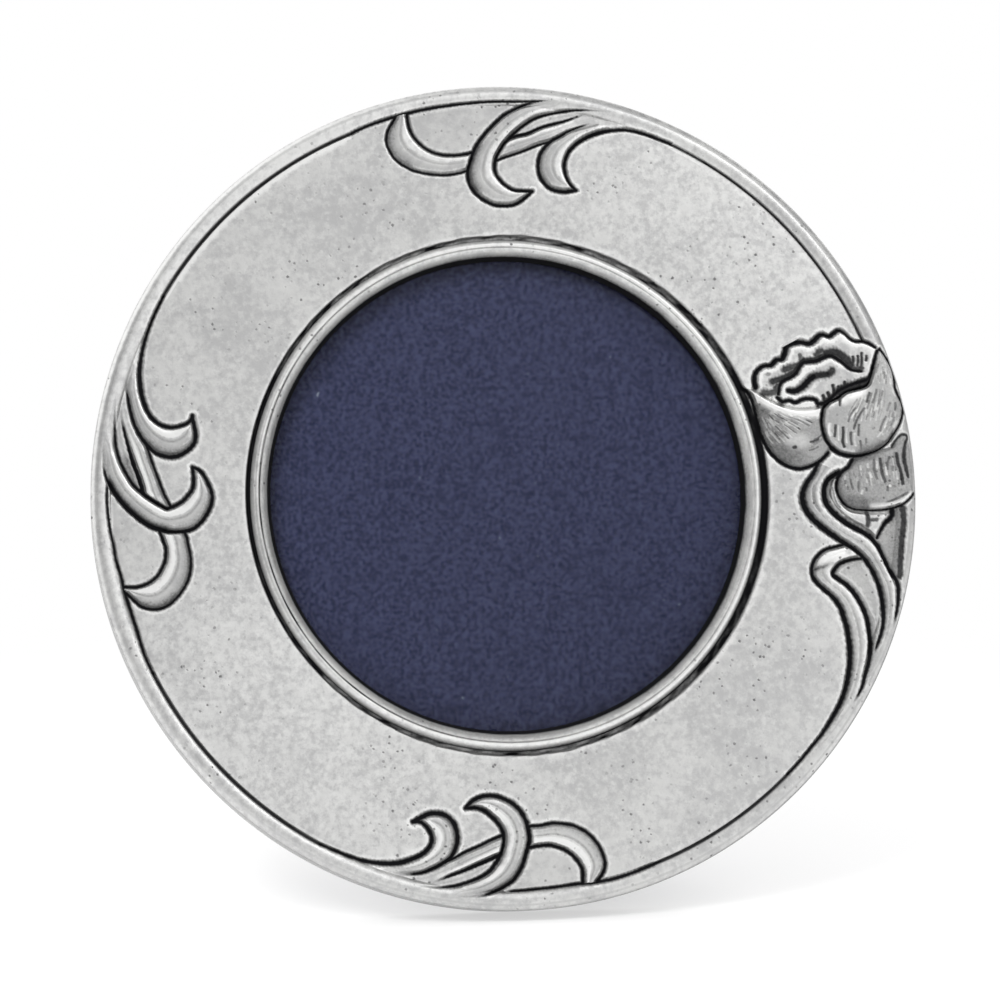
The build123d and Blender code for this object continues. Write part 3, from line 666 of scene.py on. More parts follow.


# In each cluster: a weight for its tendrils' painted shade and highlights, extra painted shade along parts
# of their edges, and painted shade in the lens between two tendrils.
CLUSTERS = {
    "top": dict(
        turn=0.0, line=0.86, lens=0.3, film=0.62,
        shade=[("tall_outer", 6, 11, 0.6, 1.6), ("under_lower", 15, 22, 0.35, 1.6),
               ("short_outer", 4, 10, 0.25, 1.5)],
        rim=[(-20, 48.55), (-17, 49.85), (-15, 50.5), (-13, 51.1), (-10, 51.8), (-7, 52.3), (-4, 52.65),
             (-1, 52.85), (2, 52.85), (5, 52.85), (8, 52.9)],
        tall_outer=[(7.5, 53), (4, 52.5), (2, 51.7), (0.7, 50.9), (-1, 49.3), (-2.2, 47.9), (-3, 46.7),
                    (-3.7, 45), (-4.1, 43.5), (-4, 42), (-3.4, 40.8), (-2.5, 39.9), (-1.2, 39.1), (0, 38.8),
                    (1.5, 38.8), (2.6, 39.2), (3.6, 39.9), (4.5, 40.7)],
        tall_inner=[(15.8, 51.3), (12, 51.6), (9.5, 51.6), (7.5, 51.3), (5.5, 50.8), (4, 50), (2.8, 49.1),
                    (1.9, 48.3), (1, 47.3), (0.3, 46.3), (-0.3, 45.2), (-0.5, 44), (-0.3, 43), (0.4, 42),
                    (1.2, 41.3), (2.1, 40.85), (3.2, 40.75), (4.5, 40.7)],
        under_upper=[(13, 51.3), (11.5, 51), (9, 50.2), (6, 49.4), (4, 48.5), (2.2, 48.1), (-0.5, 47),
                     (-3.3, 46.1), (-4.5, 45.8), (-6, 45.65), (-7.5, 45.75), (-9, 46.2), (-10.3, 47.1),
                     (-11.3, 48.3), (-11.8, 49.4), (-12, 50.5), (-12.1, 51.3)],
        under_lower=[(13.3, 49.9), (12, 49.7), (10, 49), (8.5, 48.2), (7.2, 47.5), (5.5, 47), (4, 46.4),
                     (2, 45.7), (0.5, 45.2), (-2, 44.2), (-4.4, 43.5), (-5.5, 43.2), (-7, 43), (-9, 43.1),
                     (-11, 43.5), (-12.5, 44.2), (-13.7, 45.1), (-14.5, 46.3), (-14.9, 47.6), (-14.7, 49),
                     (-14.1, 50.1), (-13.6, 50.9)],
        short_outer=[(13.3, 49.9), (10, 49), (8.5, 48.2), (7.2, 47.5), (6.3, 46.6), (5.7, 45.7),
                     (5.45, 44.7), (5.4, 43.7), (5.6, 42.7), (6.2, 41.7), (7, 41), (8, 40.7), (9, 40.6),
                     (10.4, 40.8)],
        short_inner=[(23.5, 47.0), (20, 48.4), (17.5, 49), (16, 49), (14.5, 48.8), (13, 48.4), (11.5, 47.7),
                     (10.5, 47), (9.7, 46.2), (9.2, 45.3), (8.9, 44.2), (9, 43.2), (9.3, 42.2), (9.8, 41.4),
                     (10.4, 40.8)],
    ),
    "left": dict(
        turn=90.0, line=0.96, lens=0.9, film=1.1,
        shade=[("tall_outer", 3, 10, 0.45, 1.5), ("short_outer", 6, 11, 0.25, 1.4),
               ("under_lower", 16, 22, 0.25, 1.4)],
        rim=[(-22.9, 47.24), (-21, 48.1), (-19.5, 48.62), (-18, 49.03), (-17, 49.3), (-15, 49.9),
             (-13, 50.5), (-11.5, 50.9), (-10, 51.2), (-8, 51.8), (-6, 52.1), (-4, 52.5), (-2, 52.75),
             (0, 52.85), (2, 52.8), (3.5, 52.95)],
        tall_outer=[(6.8, 53.35), (5, 53.25), (3.5, 53.05), (2.2, 52.6), (0.8, 51.8), (-0.8, 50.6),
                    (-2, 49.4), (-3, 48.2), (-3.7, 47), (-4.2, 45.5), (-4.35, 44.5), (-4.3, 43.2),
                    (-4, 41.8), (-3.2, 40.7), (-2.3, 40), (-1.2, 39.4), (0, 39.1), (1, 39.2), (2, 39.6),
                    (3.2, 40.2), (3.9, 40.9), (4.2, 41.6)],
        tall_inner=[(13.8, 51.5), (12, 51.6), (10, 51.65), (8, 51.65), (6.5, 51.45), (5, 51), (3.5, 50.3),
                    (2, 49.4), (1, 48.4), (0.2, 47.4), (-0.4, 46.5), (-0.9, 45.7), (-1.2, 45.1),
                    (-1.1, 44.6), (-0.8, 43.8), (-0.3, 43), (0.4, 42.3), (1.2, 41.7), (2, 41.5), (3, 41.5),
                    (4.2, 41.6)],
        under_upper=[(12.5, 51), (11, 50.8), (9, 50.4), (7, 49.9), (5, 49.3), (3, 48.6), (1.6, 48.2),
                     (0.6, 48), (-1.9, 47), (-4.4, 46), (-5.5, 45.6), (-6.5, 45.3), (-8, 45.4), (-9, 45.8),
                     (-10, 46.4), (-10.8, 47.3), (-11.3, 48.4), (-11.5, 49.5), (-11.4, 50.9)],
        under_lower=[(13, 49.8), (11, 49.4), (9.5, 48.9), (8.2, 48.2), (7, 47.5), (5, 46.9), (3, 46.2),
                     (1, 45.5), (-0.3, 44.9), (-2.5, 43.7), (-4.9, 42.6), (-6, 42.4), (-7.5, 42.1),
                     (-9, 42.1), (-10.5, 42.4), (-12, 43.2), (-13.2, 44.2), (-14, 45.2), (-14.4, 46.3),
                     (-14.4, 47.5), (-14, 48.7), (-13.2, 49.6), (-12.3, 50.5)],
        short_outer=[(17, 49.7), (15, 50), (13, 49.8), (11, 49.4), (9.5, 48.9), (8.2, 48.2), (7, 47.3),
                     (6.2, 46.4), (5.7, 45.3), (5.6, 44.2), (5.8, 43.2), (6.4, 42.2), (7.2, 41.4),
                     (8.2, 41.1), (9.3, 41.2), (10.5, 41.45), (11, 41.5)],
        short_inner=[(27, 45), (24, 46.45), (21, 47.55), (18, 48.2), (16, 48.3), (14, 48.1), (12.5, 47.7),
                     (11.2, 47.1), (10.3, 46.3), (9.7, 45.3), (9.5, 44.2), (9.7, 43), (10, 42.2),
                     (10.5, 41.7), (11, 41.5)],
    ),
    "bottom": dict(
        turn=180.0, line=1.04, lens=0.3, film=1.0,
        shade=[("tall_inner", 8, 13, 0.6, 1.8), ("tall_outer", 3, 7, 0.3, 1.2),
               ("short_outer", 6, 11, 0.2, 1.4)],
        rim=[(-19.5, 48.75), (-17, 49.7), (-15, 50.4), (-13, 51), (-11, 51.4), (-9, 51.6), (-7, 51.75),
             (-5, 52), (-3, 52.15), (-1, 52.3), (1, 52.4), (3, 52.4)],
        tall_outer=[(7.5, 53.05), (5.5, 52.95), (4, 52.6), (2.5, 52), (1, 51.1), (0.2, 50.2), (-0.5, 49),
                    (-0.9, 47.8), (-1.3, 46.5), (-1.5, 45.5), (-1.3, 44), (-0.9, 42.8), (-0.2, 41.7),
                    (0.8, 40.8), (2, 40.2), (3.2, 39.85), (4.5, 39.9), (5.6, 40.3), (6.4, 40.9),
                    (6.8, 41.4)],
        tall_inner=[(14.3, 51.1), (12.5, 51.4), (11, 51.6), (9, 51.55), (7.2, 51.2), (5.5, 50.6), (4, 49.8),
                    (3.2, 48.9), (2.6, 48), (2.2, 47), (1.95, 46), (1.9, 45), (2.2, 44.1), (2.8, 43.2),
                    (3.6, 42.4), (4.5, 41.7), (5.5, 41.4), (6.8, 41.4)],
        under_upper=[(12.5, 51.1), (11, 50.8), (9, 50.1), (7, 49.4), (5, 48.6), (3.5, 48), (2.7, 47.7),
                     (0.5, 47.2), (-1.3, 46.8), (-2.5, 46.6), (-4, 46.5), (-5.2, 46.8), (-6.3, 47.3),
                     (-7.2, 48), (-8, 49), (-8.4, 50), (-8.4, 51.6)],
        under_lower=[(13, 49.7), (11.5, 49.2), (10, 48.5), (8.8, 48), (7, 47.1), (5, 46.3), (3.5, 45.6),
                     (2.2, 45.1), (0.3, 44.5), (-1.5, 44), (-3, 43.9), (-4.5, 43.65), (-6, 43.75),
                     (-7.5, 44.1), (-9, 44.9), (-10.2, 46.1), (-11, 47.5), (-11.4, 49), (-11.1, 50.3),
                     (-10.2, 51.5)],
        short_outer=[(17, 49.7), (15, 49.8), (13, 49.7), (11.5, 49.2), (10, 48.5), (8.9, 47.7), (8.3, 46.7),
                     (8, 45.5), (8.1, 44.2), (8.5, 43.2), (9.3, 42.4), (10.3, 42), (11.5, 42), (12.6, 42.4),
                     (13.8, 43)],
        short_inner=[(26, 45.6), (23, 46.95), (20.5, 47.85), (18, 48.3), (16, 48.3), (14.5, 48), (13, 47.4),
                     (12, 46.7), (11.4, 45.7), (11.4, 44.8), (11.8, 44), (12.4, 43.3), (13, 43),
                     (13.8, 43)],
    ),
}
ROOT = (12.0, 52.4)
SHORT_ROOT = (20.0, 49.6)
ROOT_REACH = 8.0
TENDRIL_EDGES = {"under": ("_lower", "_upper"), "short": ("_outer", "_inner"), "tall": ("_outer", "_inner")}


def turned(points, turn):
    """Points of a cluster drawn at the top, turned round the face to its place."""
    x, y = np.array(points, float).T
    c, s = cos(radians(turn)), sin(radians(turn))
    return np.stack([c * x - s * y, s * x + c * y], -1)


for name, drawn in CLUSTERS.items():
    turn = drawn["turn"]
    line = {part: turned(drawn[part], turn) for part in drawn if part == "rim" or "_" in part}
    starts = np.degrees(np.arctan2(*line["rim"][0][::-1])) % 360
    ends = np.degrees(np.arctan2(*line["short_inner"][0][::-1])) % 360
    work = Relief(*SECTORS[name], SECTOR_INNER_R[name], starts, ends)
    root = (*turned([ROOT], turn)[0], ROOT_REACH)
    short_root = (*turned([SHORT_ROOT], turn)[0], ROOT_REACH)

    def engrave(part, widths, depth, taper=(0.0, 0.0), edge_highlight=0.36):
        """One edge of a tendril, in the cluster's own weight of line."""
        work.cut(line[part], drawn["line"] * np.array(widths), depth, taper, edge_highlight=edge_highlight)

    def tendril(part, *form):
        """One tendril, raised between its edges, with the cluster's painted shade on it."""
        outer, inner = part + TENDRIL_EDGES[part][0], part + TENDRIL_EDGES[part][1]
        work.ribbon(line[outer], line[inner], *form, film=drawn["film"])
        for shaded, first, last, near, reach in drawn["shade"]:
            if shaded in (outer, inner):
                outline = np.concatenate([line[outer], line[inner][::-1]])
                work.paint_light_and_shade(outline, line[shaded][first:last], near, 0.0, reach)

    # Painted shade, with the black left in the hollow, on the ground between the rim and the lower tendril.
    ground = np.concatenate([line["rim"][3:], line["under_upper"]])
    work.paint_light_and_shade(ground, line["rim"], 0.14, 0.16, 3.0)
    engrave("rim", (0.5, 0.6, 0.45, 0.4), 0.34, (0.0, 3.0), 0.1)
    tendril("under", 0.62, 0.75, 0.45, root)
    engrave("under_upper", (0.45, 0.55, 0.6, 0.6), 0.3, (5.0, 0.0))
    engrave("under_lower", (0.4, 0.5, 0.55, 0.55), 0.3, (3.0, 0.0))
    # Painted shade in the lens between the tall and the lower tendril.
    lens = np.concatenate([line["tall_inner"][1:10], line["under_upper"][7:0:-1]])
    work.paint_light_and_shade(lens, line["under_upper"][4:8], drawn["lens"], 0.12, 2.6)
    tendril("short", 0.85, 0.72, 0.5, short_root)
    engrave("short_outer", (0.4, 0.6, 0.8, 0.75), 0.32, (5.0, 0.0))
    engrave("short_inner", (0.45, 0.55, 0.8, 0.7, 0.6), 0.34)
    tendril("tall", 0.92, 0.72, 0.5, root)
    engrave("tall_outer", (0.4, 0.6, 0.7, 0.7, 0.6), 0.34, (5.0, 0.0))
    engrave("tall_inner", (0.35, 0.5, 0.65, 0.65), 0.34, (7.0, 0.0))
    work.piece(f"tendrils_{name}")

# Flower: a bud with a ruffled mouth, two petals and a striped calyx on two crossing stems, raised from
# the right of the border in the same metal. The stems run down into the rim.
STEM_LOW_LEFT = [
    (44.8, -7.6), (43.6, -7.9), (42.3, -8.3), (41.2, -9.2), (40.6, -10.3), (40.5, -11.5), (41, -12.5),
    (42, -13.5), (43.2, -14.6), (44.1, -15.9), (44.6, -17.4), (45, -19), (45.2, -21), (45.2, -23),
    (44.8, -25.5), (44, -28), (42.8, -30.2), (41, -32.8), (39.5, -34.5), (37.8, -36.4), (36.2, -38.0),
]
STEM_LOW_RIGHT = [
    (47.2, -9.5), (46, -9.6), (44.6, -10), (43.8, -10.6), (43.3, -11.5), (44, -12.2), (45, -12.9),
    (46, -14), (46.9, -15.5), (47.6, -17.2), (47.9, -19), (48, -21), (47.7, -23), (47, -25.2), (46.4, -27),
    (44.8, -29.5), (41.0, -34.0), (36.2, -38.0),
]
STEM_HIGH_LEFT = [
    (41.9, 3.4), (41.2, 2), (40.3, 0.8), (39.7, -0.5), (39.6, -1.6), (40.1, -3), (41, -4.2), (42.2, -5.3),
    (43.5, -6.3), (44.9, -7.3), (46.3, -8.2), (47.5, -9.3), (48.4, -10.6), (49.1, -12), (49.6, -13.5),
    (49.9, -15.2), (49.9, -17), (49.7, -18.7), (49.2, -20.3), (48.6, -21.7), (48.1, -23), (47.0, -26.0),
]
STEM_HIGH_RIGHT = [
    (44.7, 2.2), (43.2, 1.2), (42.6, 0), (42.6, -1.5), (43.2, -2.7), (44.3, -3.9), (45.8, -5), (47.3, -5.8),
    (48.6, -6.7), (49.6, -8), (50.3, -9.5), (51.1, -11.3), (51.8, -12.7), (52, -14), (51.8, -16.2),
    (51.0, -19.5), (49.2, -23.5), (47.0, -26.0),
]
STALK_LEFT = [
    (43.5, 1.0), (43.1, -0.6), (43.6, -2.0), (44.7, -3.4), (46.2, -4.6), (47.8, -5.5), (49.2, -6.8),
]
STALK_RIGHT = [
    (45.2, 1.6), (44.5, 0.2), (44.7, -1.2), (45.3, -2.3), (46.4, -3.0), (49.0, -3.3), (51.7, -3.3),
    (51.5, -4.1), (50.7, -4.8), (50.1, -5.7), (49.2, -6.8),
]
STALK_BLACK = [(51.75, -3.2), (51.6, -4), (50.7, -4.8), (50.1, -5.7), (49.5, -6.8)]
RECESS = [(51.9, -4.0), (53.0, -2.8), (53.0, -6), (52.5, -10.5), (52.0, -12.4), (50.5, -9.5), (49.5, -7.2)]
RECESS_BLACK = [(53.0, -2.8), (53.1, -4), (52.9, -6), (52.6, -8), (52.4, -10), (52.2, -12)]
CALYX_LOW = [
    (46.6, 3.9), (46, 2.9), (45, 2.1), (44.4, 1.2), (44.2, 0), (44.6, -1.2), (45.3, -2.2), (46.4, -2.8),
    (47.8, -3), (49.5, -3.05), (51.2, -2.9), (52.8, -2.5), (54, -1.7), (54.7, -0.9),
]
CALYX_HIGH = [
    (46.6, 3.9), (49, 4.8), (51, 5.2), (52, 5.6), (52.5, 6.3), (53.3, 7), (54.1, 6.9), (54.2, 6.2),
    (54.4, 4), (54.6, 2), (54.7, -0.9),
]
CALYX_HOOK = [
    (52.0, 5.4), (52.5, 6.3), (53.3, 7), (54.1, 6.8), (53.7, 5.6), (53.5, 4), (53.7, 2.5), (54.1, 0.6),
]
CALYX_RIM = [(49.9, -2.1), (51.2, -1.95), (52.4, -1.5), (53.4, -1.0), (54.3, -0.5)]
PETAL_LEFT_LOW = [
    (32.0, 13.8), (32.9, 12.8), (33.4, 11.5), (33.8, 9.5), (34.1, 8), (34.5, 6.8), (35.2, 5.4), (36, 4.4),
    (37, 3.5), (38.3, 2.9), (39.5, 2.7), (41, 3.1), (42.3, 3.8), (43.3, 4.8), (44.6, 6.6),
]
PETAL_LEFT_HIGH = [
    (32.0, 13.8), (33.4, 13.4), (34.6, 12.7), (36, 11.9), (37.5, 11.3), (39.5, 10.9), (41.5, 11),
    (43.2, 11.3), (44.8, 11.0), (44.6, 6.6),
]
PETAL_RIGHT_LOW = [
    (43.6, 11.6), (42.8, 10.8), (42.5, 9.5), (42.5, 8.5), (42.8, 7), (43.3, 6), (44.2, 5.1), (45.2, 4.6),
    (46.5, 4.3), (48, 4.4), (49.7, 4.9), (51.3, 5.9), (52.3, 7.2), (53.2, 8.7), (53.7, 10.3), (53.6, 11.4),
    (53, 12.6), (52.7, 13.5), (52.7, 15), (52.3, 16.5), (51.5, 17.8), (50.8, 18.7),
]
PETAL_RIGHT_HIGH = [
    (43.6, 11.6), (45, 12.3), (46, 13), (47.5, 13.4), (48.8, 13.8), (49.3, 14.6), (49.8, 16), (50.1, 17.2),
    (50.4, 18.3), (50.8, 18.7),
]
RUFFLE = [
    (33.8, 13.7), (33.65, 14.5), (33.7, 15.3), (34.2, 16.1), (35, 16.6), (36, 16.7), (36.7, 17.4),
    (37.5, 17.5), (37.9, 18.3), (38.2, 19.2), (39, 19.6), (40.2, 19.75), (41.2, 19.55), (42, 20),
    (42.6, 20.6), (43.2, 20.75), (44, 20.5), (44.6, 20.9), (45.3, 21.3), (46, 21), (46.7, 20.3),
    (47.5, 19.8), (48.5, 19.75), (49.3, 19.5), (50.2, 18.9),
]
MOUTH_LOW = [
    (33.8, 13.7), (34.6, 12.8), (36, 12), (37.5, 11.4), (39.5, 11), (41.5, 11.1), (43.3, 11.4), (45, 12.4),
    (47, 13.4), (48.9, 14), (49.7, 16), (50.2, 18.9),
]
THROAT = [
    (36.7, 12.4), (36.85, 13.3), (37.1, 14.1), (37.6, 14.6), (38.6, 15.05), (39.3, 15.6), (39.7, 16.3),
    (40.3, 16.95), (41.3, 17.1), (42.2, 17.2), (43.0, 17.55), (44.0, 17.85), (44.7, 17.55), (45.5, 17.0),
    (46.3, 16.3), (47.0, 15.85), (48.8, 15.65),
]
# Painted shade in the ruffle's folds: a line, its reach and how dark it is.
RUFFLE_FOLD_SHADE = [
    ([(36.0, 14.4), (37.2, 14.8), (38.3, 15.3), (39.2, 15.8)], 0.8, 0.95),
    ([(37.7, 16.0), (38.5, 16.3), (39.4, 16.5)], 0.75, 0.93),
    ([(39.1, 15.8), (39.7, 16.6), (40.3, 17.2)], 0.8, 0.97), ([(39.85, 17.2), (39.85, 18.0)], 0.45, 0.85),
    ([(40.3, 17.2), (41.6, 17.3), (42.6, 17.7), (43.6, 18.1)], 0.65, 0.95),
    ([(42.1, 17.9), (42.4, 18.4), (42.8, 18.5)], 0.65, 0.9),
    ([(43.4, 18.2), (44.5, 18.3), (45.4, 17.9), (46.2, 17.2), (46.7, 16.5)], 0.95, 0.96),
    ([(34.8, 13.0), (35.4, 12.9), (36.2, 13.1), (36.6, 13.8)], 0.7, 0.9),
    ([(46.4, 16.3), (47.2, 16.1), (48.3, 16.1)], 0.45, 0.92), ([(35.3, 15.4), (35.5, 15.4)], 0.35, 0.6),
]
RUFFLE_TICKS = [
    [(47.0, 17.9), (47.1, 17.2), (46.9, 16.4)], [(47.7, 18.0), (47.75, 17.2), (47.6, 16.2)],
    [(48.25, 18.4), (48.25, 17.2), (48.1, 16.0)], [(48.9, 18.0), (48.9, 17.5), (48.8, 16.9)],
]
LIP_TICKS = [
    [(42.6, 12.7), (42.9, 12.2), (42.9, 11.7)], [(43.3, 13.1), (43.6, 12.5), (43.6, 11.9)],
    [(44.1, 14.1), (44.3, 13.2), (44.2, 12.3)], [(44.8, 13.9), (45.0, 13.3), (45.0, 12.8)],
    [(45.7, 14.5), (45.8, 14.1), (45.8, 13.6)],
]
LIP_SHADOW = [(45.0, 13.0), (46.0, 13.55), (47.0, 13.8), (48.0, 14.1), (48.8, 14.3)]
SLOT = [(38.15, 13.2), (39.0, 13.1), (39.8, 13.5), (40.5, 14.1), (41.1, 14.7), (41.7, 15.1)]
SLOT_UPPER = [(41.2, 14.9), (42.2, 15.2), (43.1, 15.3), (43.7, 15.4), (44.1, 15.8)]
LIP = [
    (36.6, 12.3), (37.3, 11.75), (38.2, 11.9), (39, 11.6), (40, 12), (41, 12.1), (41.8, 11.9), (42.1, 11.4),
    (42.9, 11.5), (43.8, 12.0), (45, 13.1), (46, 13.6), (47, 14), (48, 14.3), (48.9, 14.6), (49.4, 15.4),
    (49.7, 16.3), (50.1, 17.5), (50.4, 18.5),
]
FLOWER_RIM_ENDS = (22.1, -46.3)
FLOWER_SPLIT = -11.0


def engrave_stems(work):
    """The two crossing stems, the stalk beside them and the dark recess by the rim, with painted shade on
    the ground between the stems, in the recess and by the stalk, and a painted highlight on the lower stem.
    """
    low_stem = STEM_LOW_LEFT + STEM_LOW_RIGHT[::-1]
    work.paint_light_and_shade(STEM_LOW_RIGHT[:14] + STEM_HIGH_LEFT[19:10:-1], STEM_LOW_RIGHT[:14], 0.55, 0.34, 1.6)
    work.ribbon(STEM_LOW_LEFT, STEM_LOW_RIGHT, 0.75, 0.68, 0.45, (40.0, -36.5, 7.0), 0.45, 0.42)
    work.paint_light_and_shade(low_stem, STEM_LOW_LEFT, 0.22, 0.12, 2.0)
    # A painted highlight on the lower stem's upper bend.
    work.paint_light_and_shade(low_stem, [(41.8, -9.6), (43.4, -8.9), (44.6, -8.6)], -1.2, 0.0, 1.1)
    work.paint_light_and_shade(low_stem, [(40.9, -10.9), (42.0, -10.5), (43.2, -10.2)], 0.55, 0.0, 0.5)
    work.cut(STEM_LOW_RIGHT[:16], (0.5, 0.85, 0.9, 0.7, 0.4), 0.34, (0.0, 3.5))
    work.cut(STEM_LOW_LEFT, (0.5, 0.65, 0.85, 0.9, 0.75, 0.5, 0.42), 0.36)
    work.paint_light_and_shade(RECESS, RECESS_BLACK, 0.7, 0.52, 1.4)
    work.paint_soft_shade(RECESS_BLACK, 0.7, 0.95)
    work.ribbon(STALK_LEFT, STALK_RIGHT, 0.6, 0.3, 0.4, fold=None, film=0.0, foot=0.5)
    work.paint_light_and_shade(STALK_RIGHT, STALK_RIGHT[2:6], 0.35, 0.05, 0.9)
    work.strokes([(43.5, 0.4), (44.2, -2.2), (46.4, -4.4)], [(44.3, 0.2), (45.2, -2.4), (47.6, -4.2)],
                 4, 0.24, 0.55, cover=(0.1, 0.5))
    work.paint_soft_shade([(48.2, -3.4), (48.3, -4.2), (48.2, -5.0)], 0.55, 0.93)
    work.paint_soft_shade([(48.4, -4.4), (49.5, -4.35)], 0.4, 0.85)
    work.cut(STALK_BLACK, (1.05, 0.75, 0.5), 0.32)
    work.ribbon(STEM_HIGH_LEFT, STEM_HIGH_RIGHT, 0.9, 0.68, 0.5, (48.8, -24.0, 6.0), 0.42, 0.46)
    work.paint_light_and_shade(STEM_HIGH_LEFT + STEM_HIGH_RIGHT[::-1], STEM_HIGH_LEFT, 0.22, 0.12, 2.0)
    fold = [(41.2, 1.0), (40.95, -0.6), (41.2, -2.2), (42.2, -3.8)]
    work.cut(fold, (0.35, 0.5, 0.35), 0.06, (1.0, 1.5), 0.55, 0.0)
    work.cut(STEM_HIGH_LEFT[:21], (0.6, 1.0, 0.95, 0.7, 0.75, 0.65, 0.4), 0.36, (0.0, 2.5))
    work.cut(STEM_HIGH_RIGHT[:16], (0.8, 1.1, 1.0, 0.8, 0.7, 0.45), 0.36, (0.0, 3.5))


BOLD_DEPTH = 0.07
BOLD_TAPER = (0.15, 0.15)
# Stripes drawn one by one; those below 0 are painted highlights.
CALYX_STROKES = [
    ([(45.35, 1.1), (45.3, 0.35)], 0.34, 0.75), ([(46.05, 1.2), (46.1, 0.6), (46.4, -0.4)], 0.39, 0.8),
    ([(46.4, 2.0), (46.8, 1.2)], 0.36, 0.6), ([(45.6, 0.25), (45.7, -0.45)], 0.39, 0.75),
    ([(47.15, 0.9), (47.1, 0.1), (47.1, -0.7)], 0.39, 0.75), ([(47.5, 1.6), (47.5, 1.1)], 0.39, 0.6),
    ([(48.1, 0.1), (48.2, -0.7)], 0.39, 0.7), ([(48.1, 1.9), (48.4, 1.2), (48.7, 0.4)], 0.34, 0.55),
    ([(47.4, 3.55), (48.3, 3.4)], 0.39, 0.5), ([(46.2, -1.3), (46.3, -2.0)], 0.45, 0.6),
    ([(49.35, 3.9), (49.3, 3.0), (49.35, 2.2), (49.7, 0.9)], 0.47, 0.8),
    ([(50.15, 4.0), (50.3, 2.8), (50.4, 1.8), (50.85, 0.5)], 0.55, 0.9),
    ([(51.6, 4.2), (51.2, 3.3), (51.1, 2.2)], 0.47, 0.8), ([(51.9, 2.9), (51.8, 2.0)], 0.39, 0.65),
    ([(52.2, 1.7), (52.2, 1.0)], 0.39, 0.55),
    ([(52.45, 4.7), (52.6, 3.2), (52.9, 2.2), (53.2, 0.1)], 0.6, 0.95),
    ([(51.1, 0.2), (51.0, -0.7)], 0.44, 0.8), ([(51.9, 0.3), (51.9, -0.3)], 0.39, 0.55),
    ([(47.5, 3.0), (47.5, 2.2)], 0.3, -0.5), ([(48.5, 3.3), (48.5, 2.5)], 0.35, -0.5),
    ([(48.6, 2.1), (49.0, 1.2)], 0.3, -0.6), ([(49.75, 3.6), (49.75, 2.4)], 0.28, -0.6),
    ([(50.9, 2.8), (51.0, 1.5)], 0.26, -0.6), ([(51.4, 0.35), (51.4, -0.1)], 0.35, -0.7),
    ([(52.3, 2.3), (52.5, 0.9)], 0.3, -0.5), ([(47.7, -0.3), (47.4, -1.0)], 0.35, -0.5),
]


def bold_strokes(work, strokes):
    """Strokes drawn one by one: a line, its width, and how black it is, or below 0 how bright, as a painted
    highlight.
    """
    for line, width, black in strokes:
        work.cut(line, width, BOLD_DEPTH, BOLD_TAPER, black, 0.0)


def engrave_calyx(work):
    """The striped cup under the petals, with its rolled lower rim and a hook at the right; darker over its
    lower part, with a painted highlight along the rolled rim and painted highlights among its stripes.
    """
    calyx = CALYX_LOW + CALYX_HIGH[::-1]
    work.ribbon(CALYX_LOW, CALYX_HIGH, 0.9, 0.5, 0.25, fold=None, film=0.0, foot=0.4)
    work.paint_light_and_shade(calyx, CALYX_LOW[4:9], 0.68, 0.46, 2.6)
    work.paint_light_and_shade(calyx, [(45.6, 3.0), (47.0, 3.8), (49.5, 4.7)], 0.35, 0.0, 1.2)
    work.paint_light_and_shade(calyx, [(46.4, -1.6), (47.6, -1.9)], 0.12, 0.0, 1.3)
    work.strokes([(45.3, 1.8), (45.4, 0.4), (45.7, -1.2)], [(52.4, 4.6), (52.5, 2.0), (53.0, -0.4)],
                 11, 0.24, -0.3, cover=(0.15, 0.5))
    work.strokes([(45.0, 2.2), (45.1, 0.8), (45.3, -0.8)], [(49.0, 4.0), (48.8, 1.6), (48.9, -1.0)],
                 17, 0.26, 0.5, cover=(0.1, 0.66))
    work.strokes([(48.8, 4.2), (49.0, 2.2), (49.5, -0.4)], [(52.0, 4.9), (52.2, 2.6), (52.7, -0.2)],
                 10, 0.28, 0.5, cover=(0.06, 0.8))
    bold_strokes(work, CALYX_STROKES)
    # A painted highlight along the rolled lower rim.
    work.paint_light_and_shade(calyx, [(48.9, -2.55), (50.8, -2.45), (52.8, -1.95), (54.3, -1.0)], -0.9, 0.0, 0.55)
    work.cut(CALYX_RIM, (0.35, 0.45, 0.4), 0.1, (2.0, 1.0), 0.8, 0.0)
    work.cut(CALYX_LOW, (0.6, 0.7, 0.5, 0.3, 0.3, 0.4, 0.45), 0.3)
    work.cut(CALYX_HOOK, (0.35, 0.45, 0.75, 0.4), 0.25, (0.0, 1.0), 0.95)


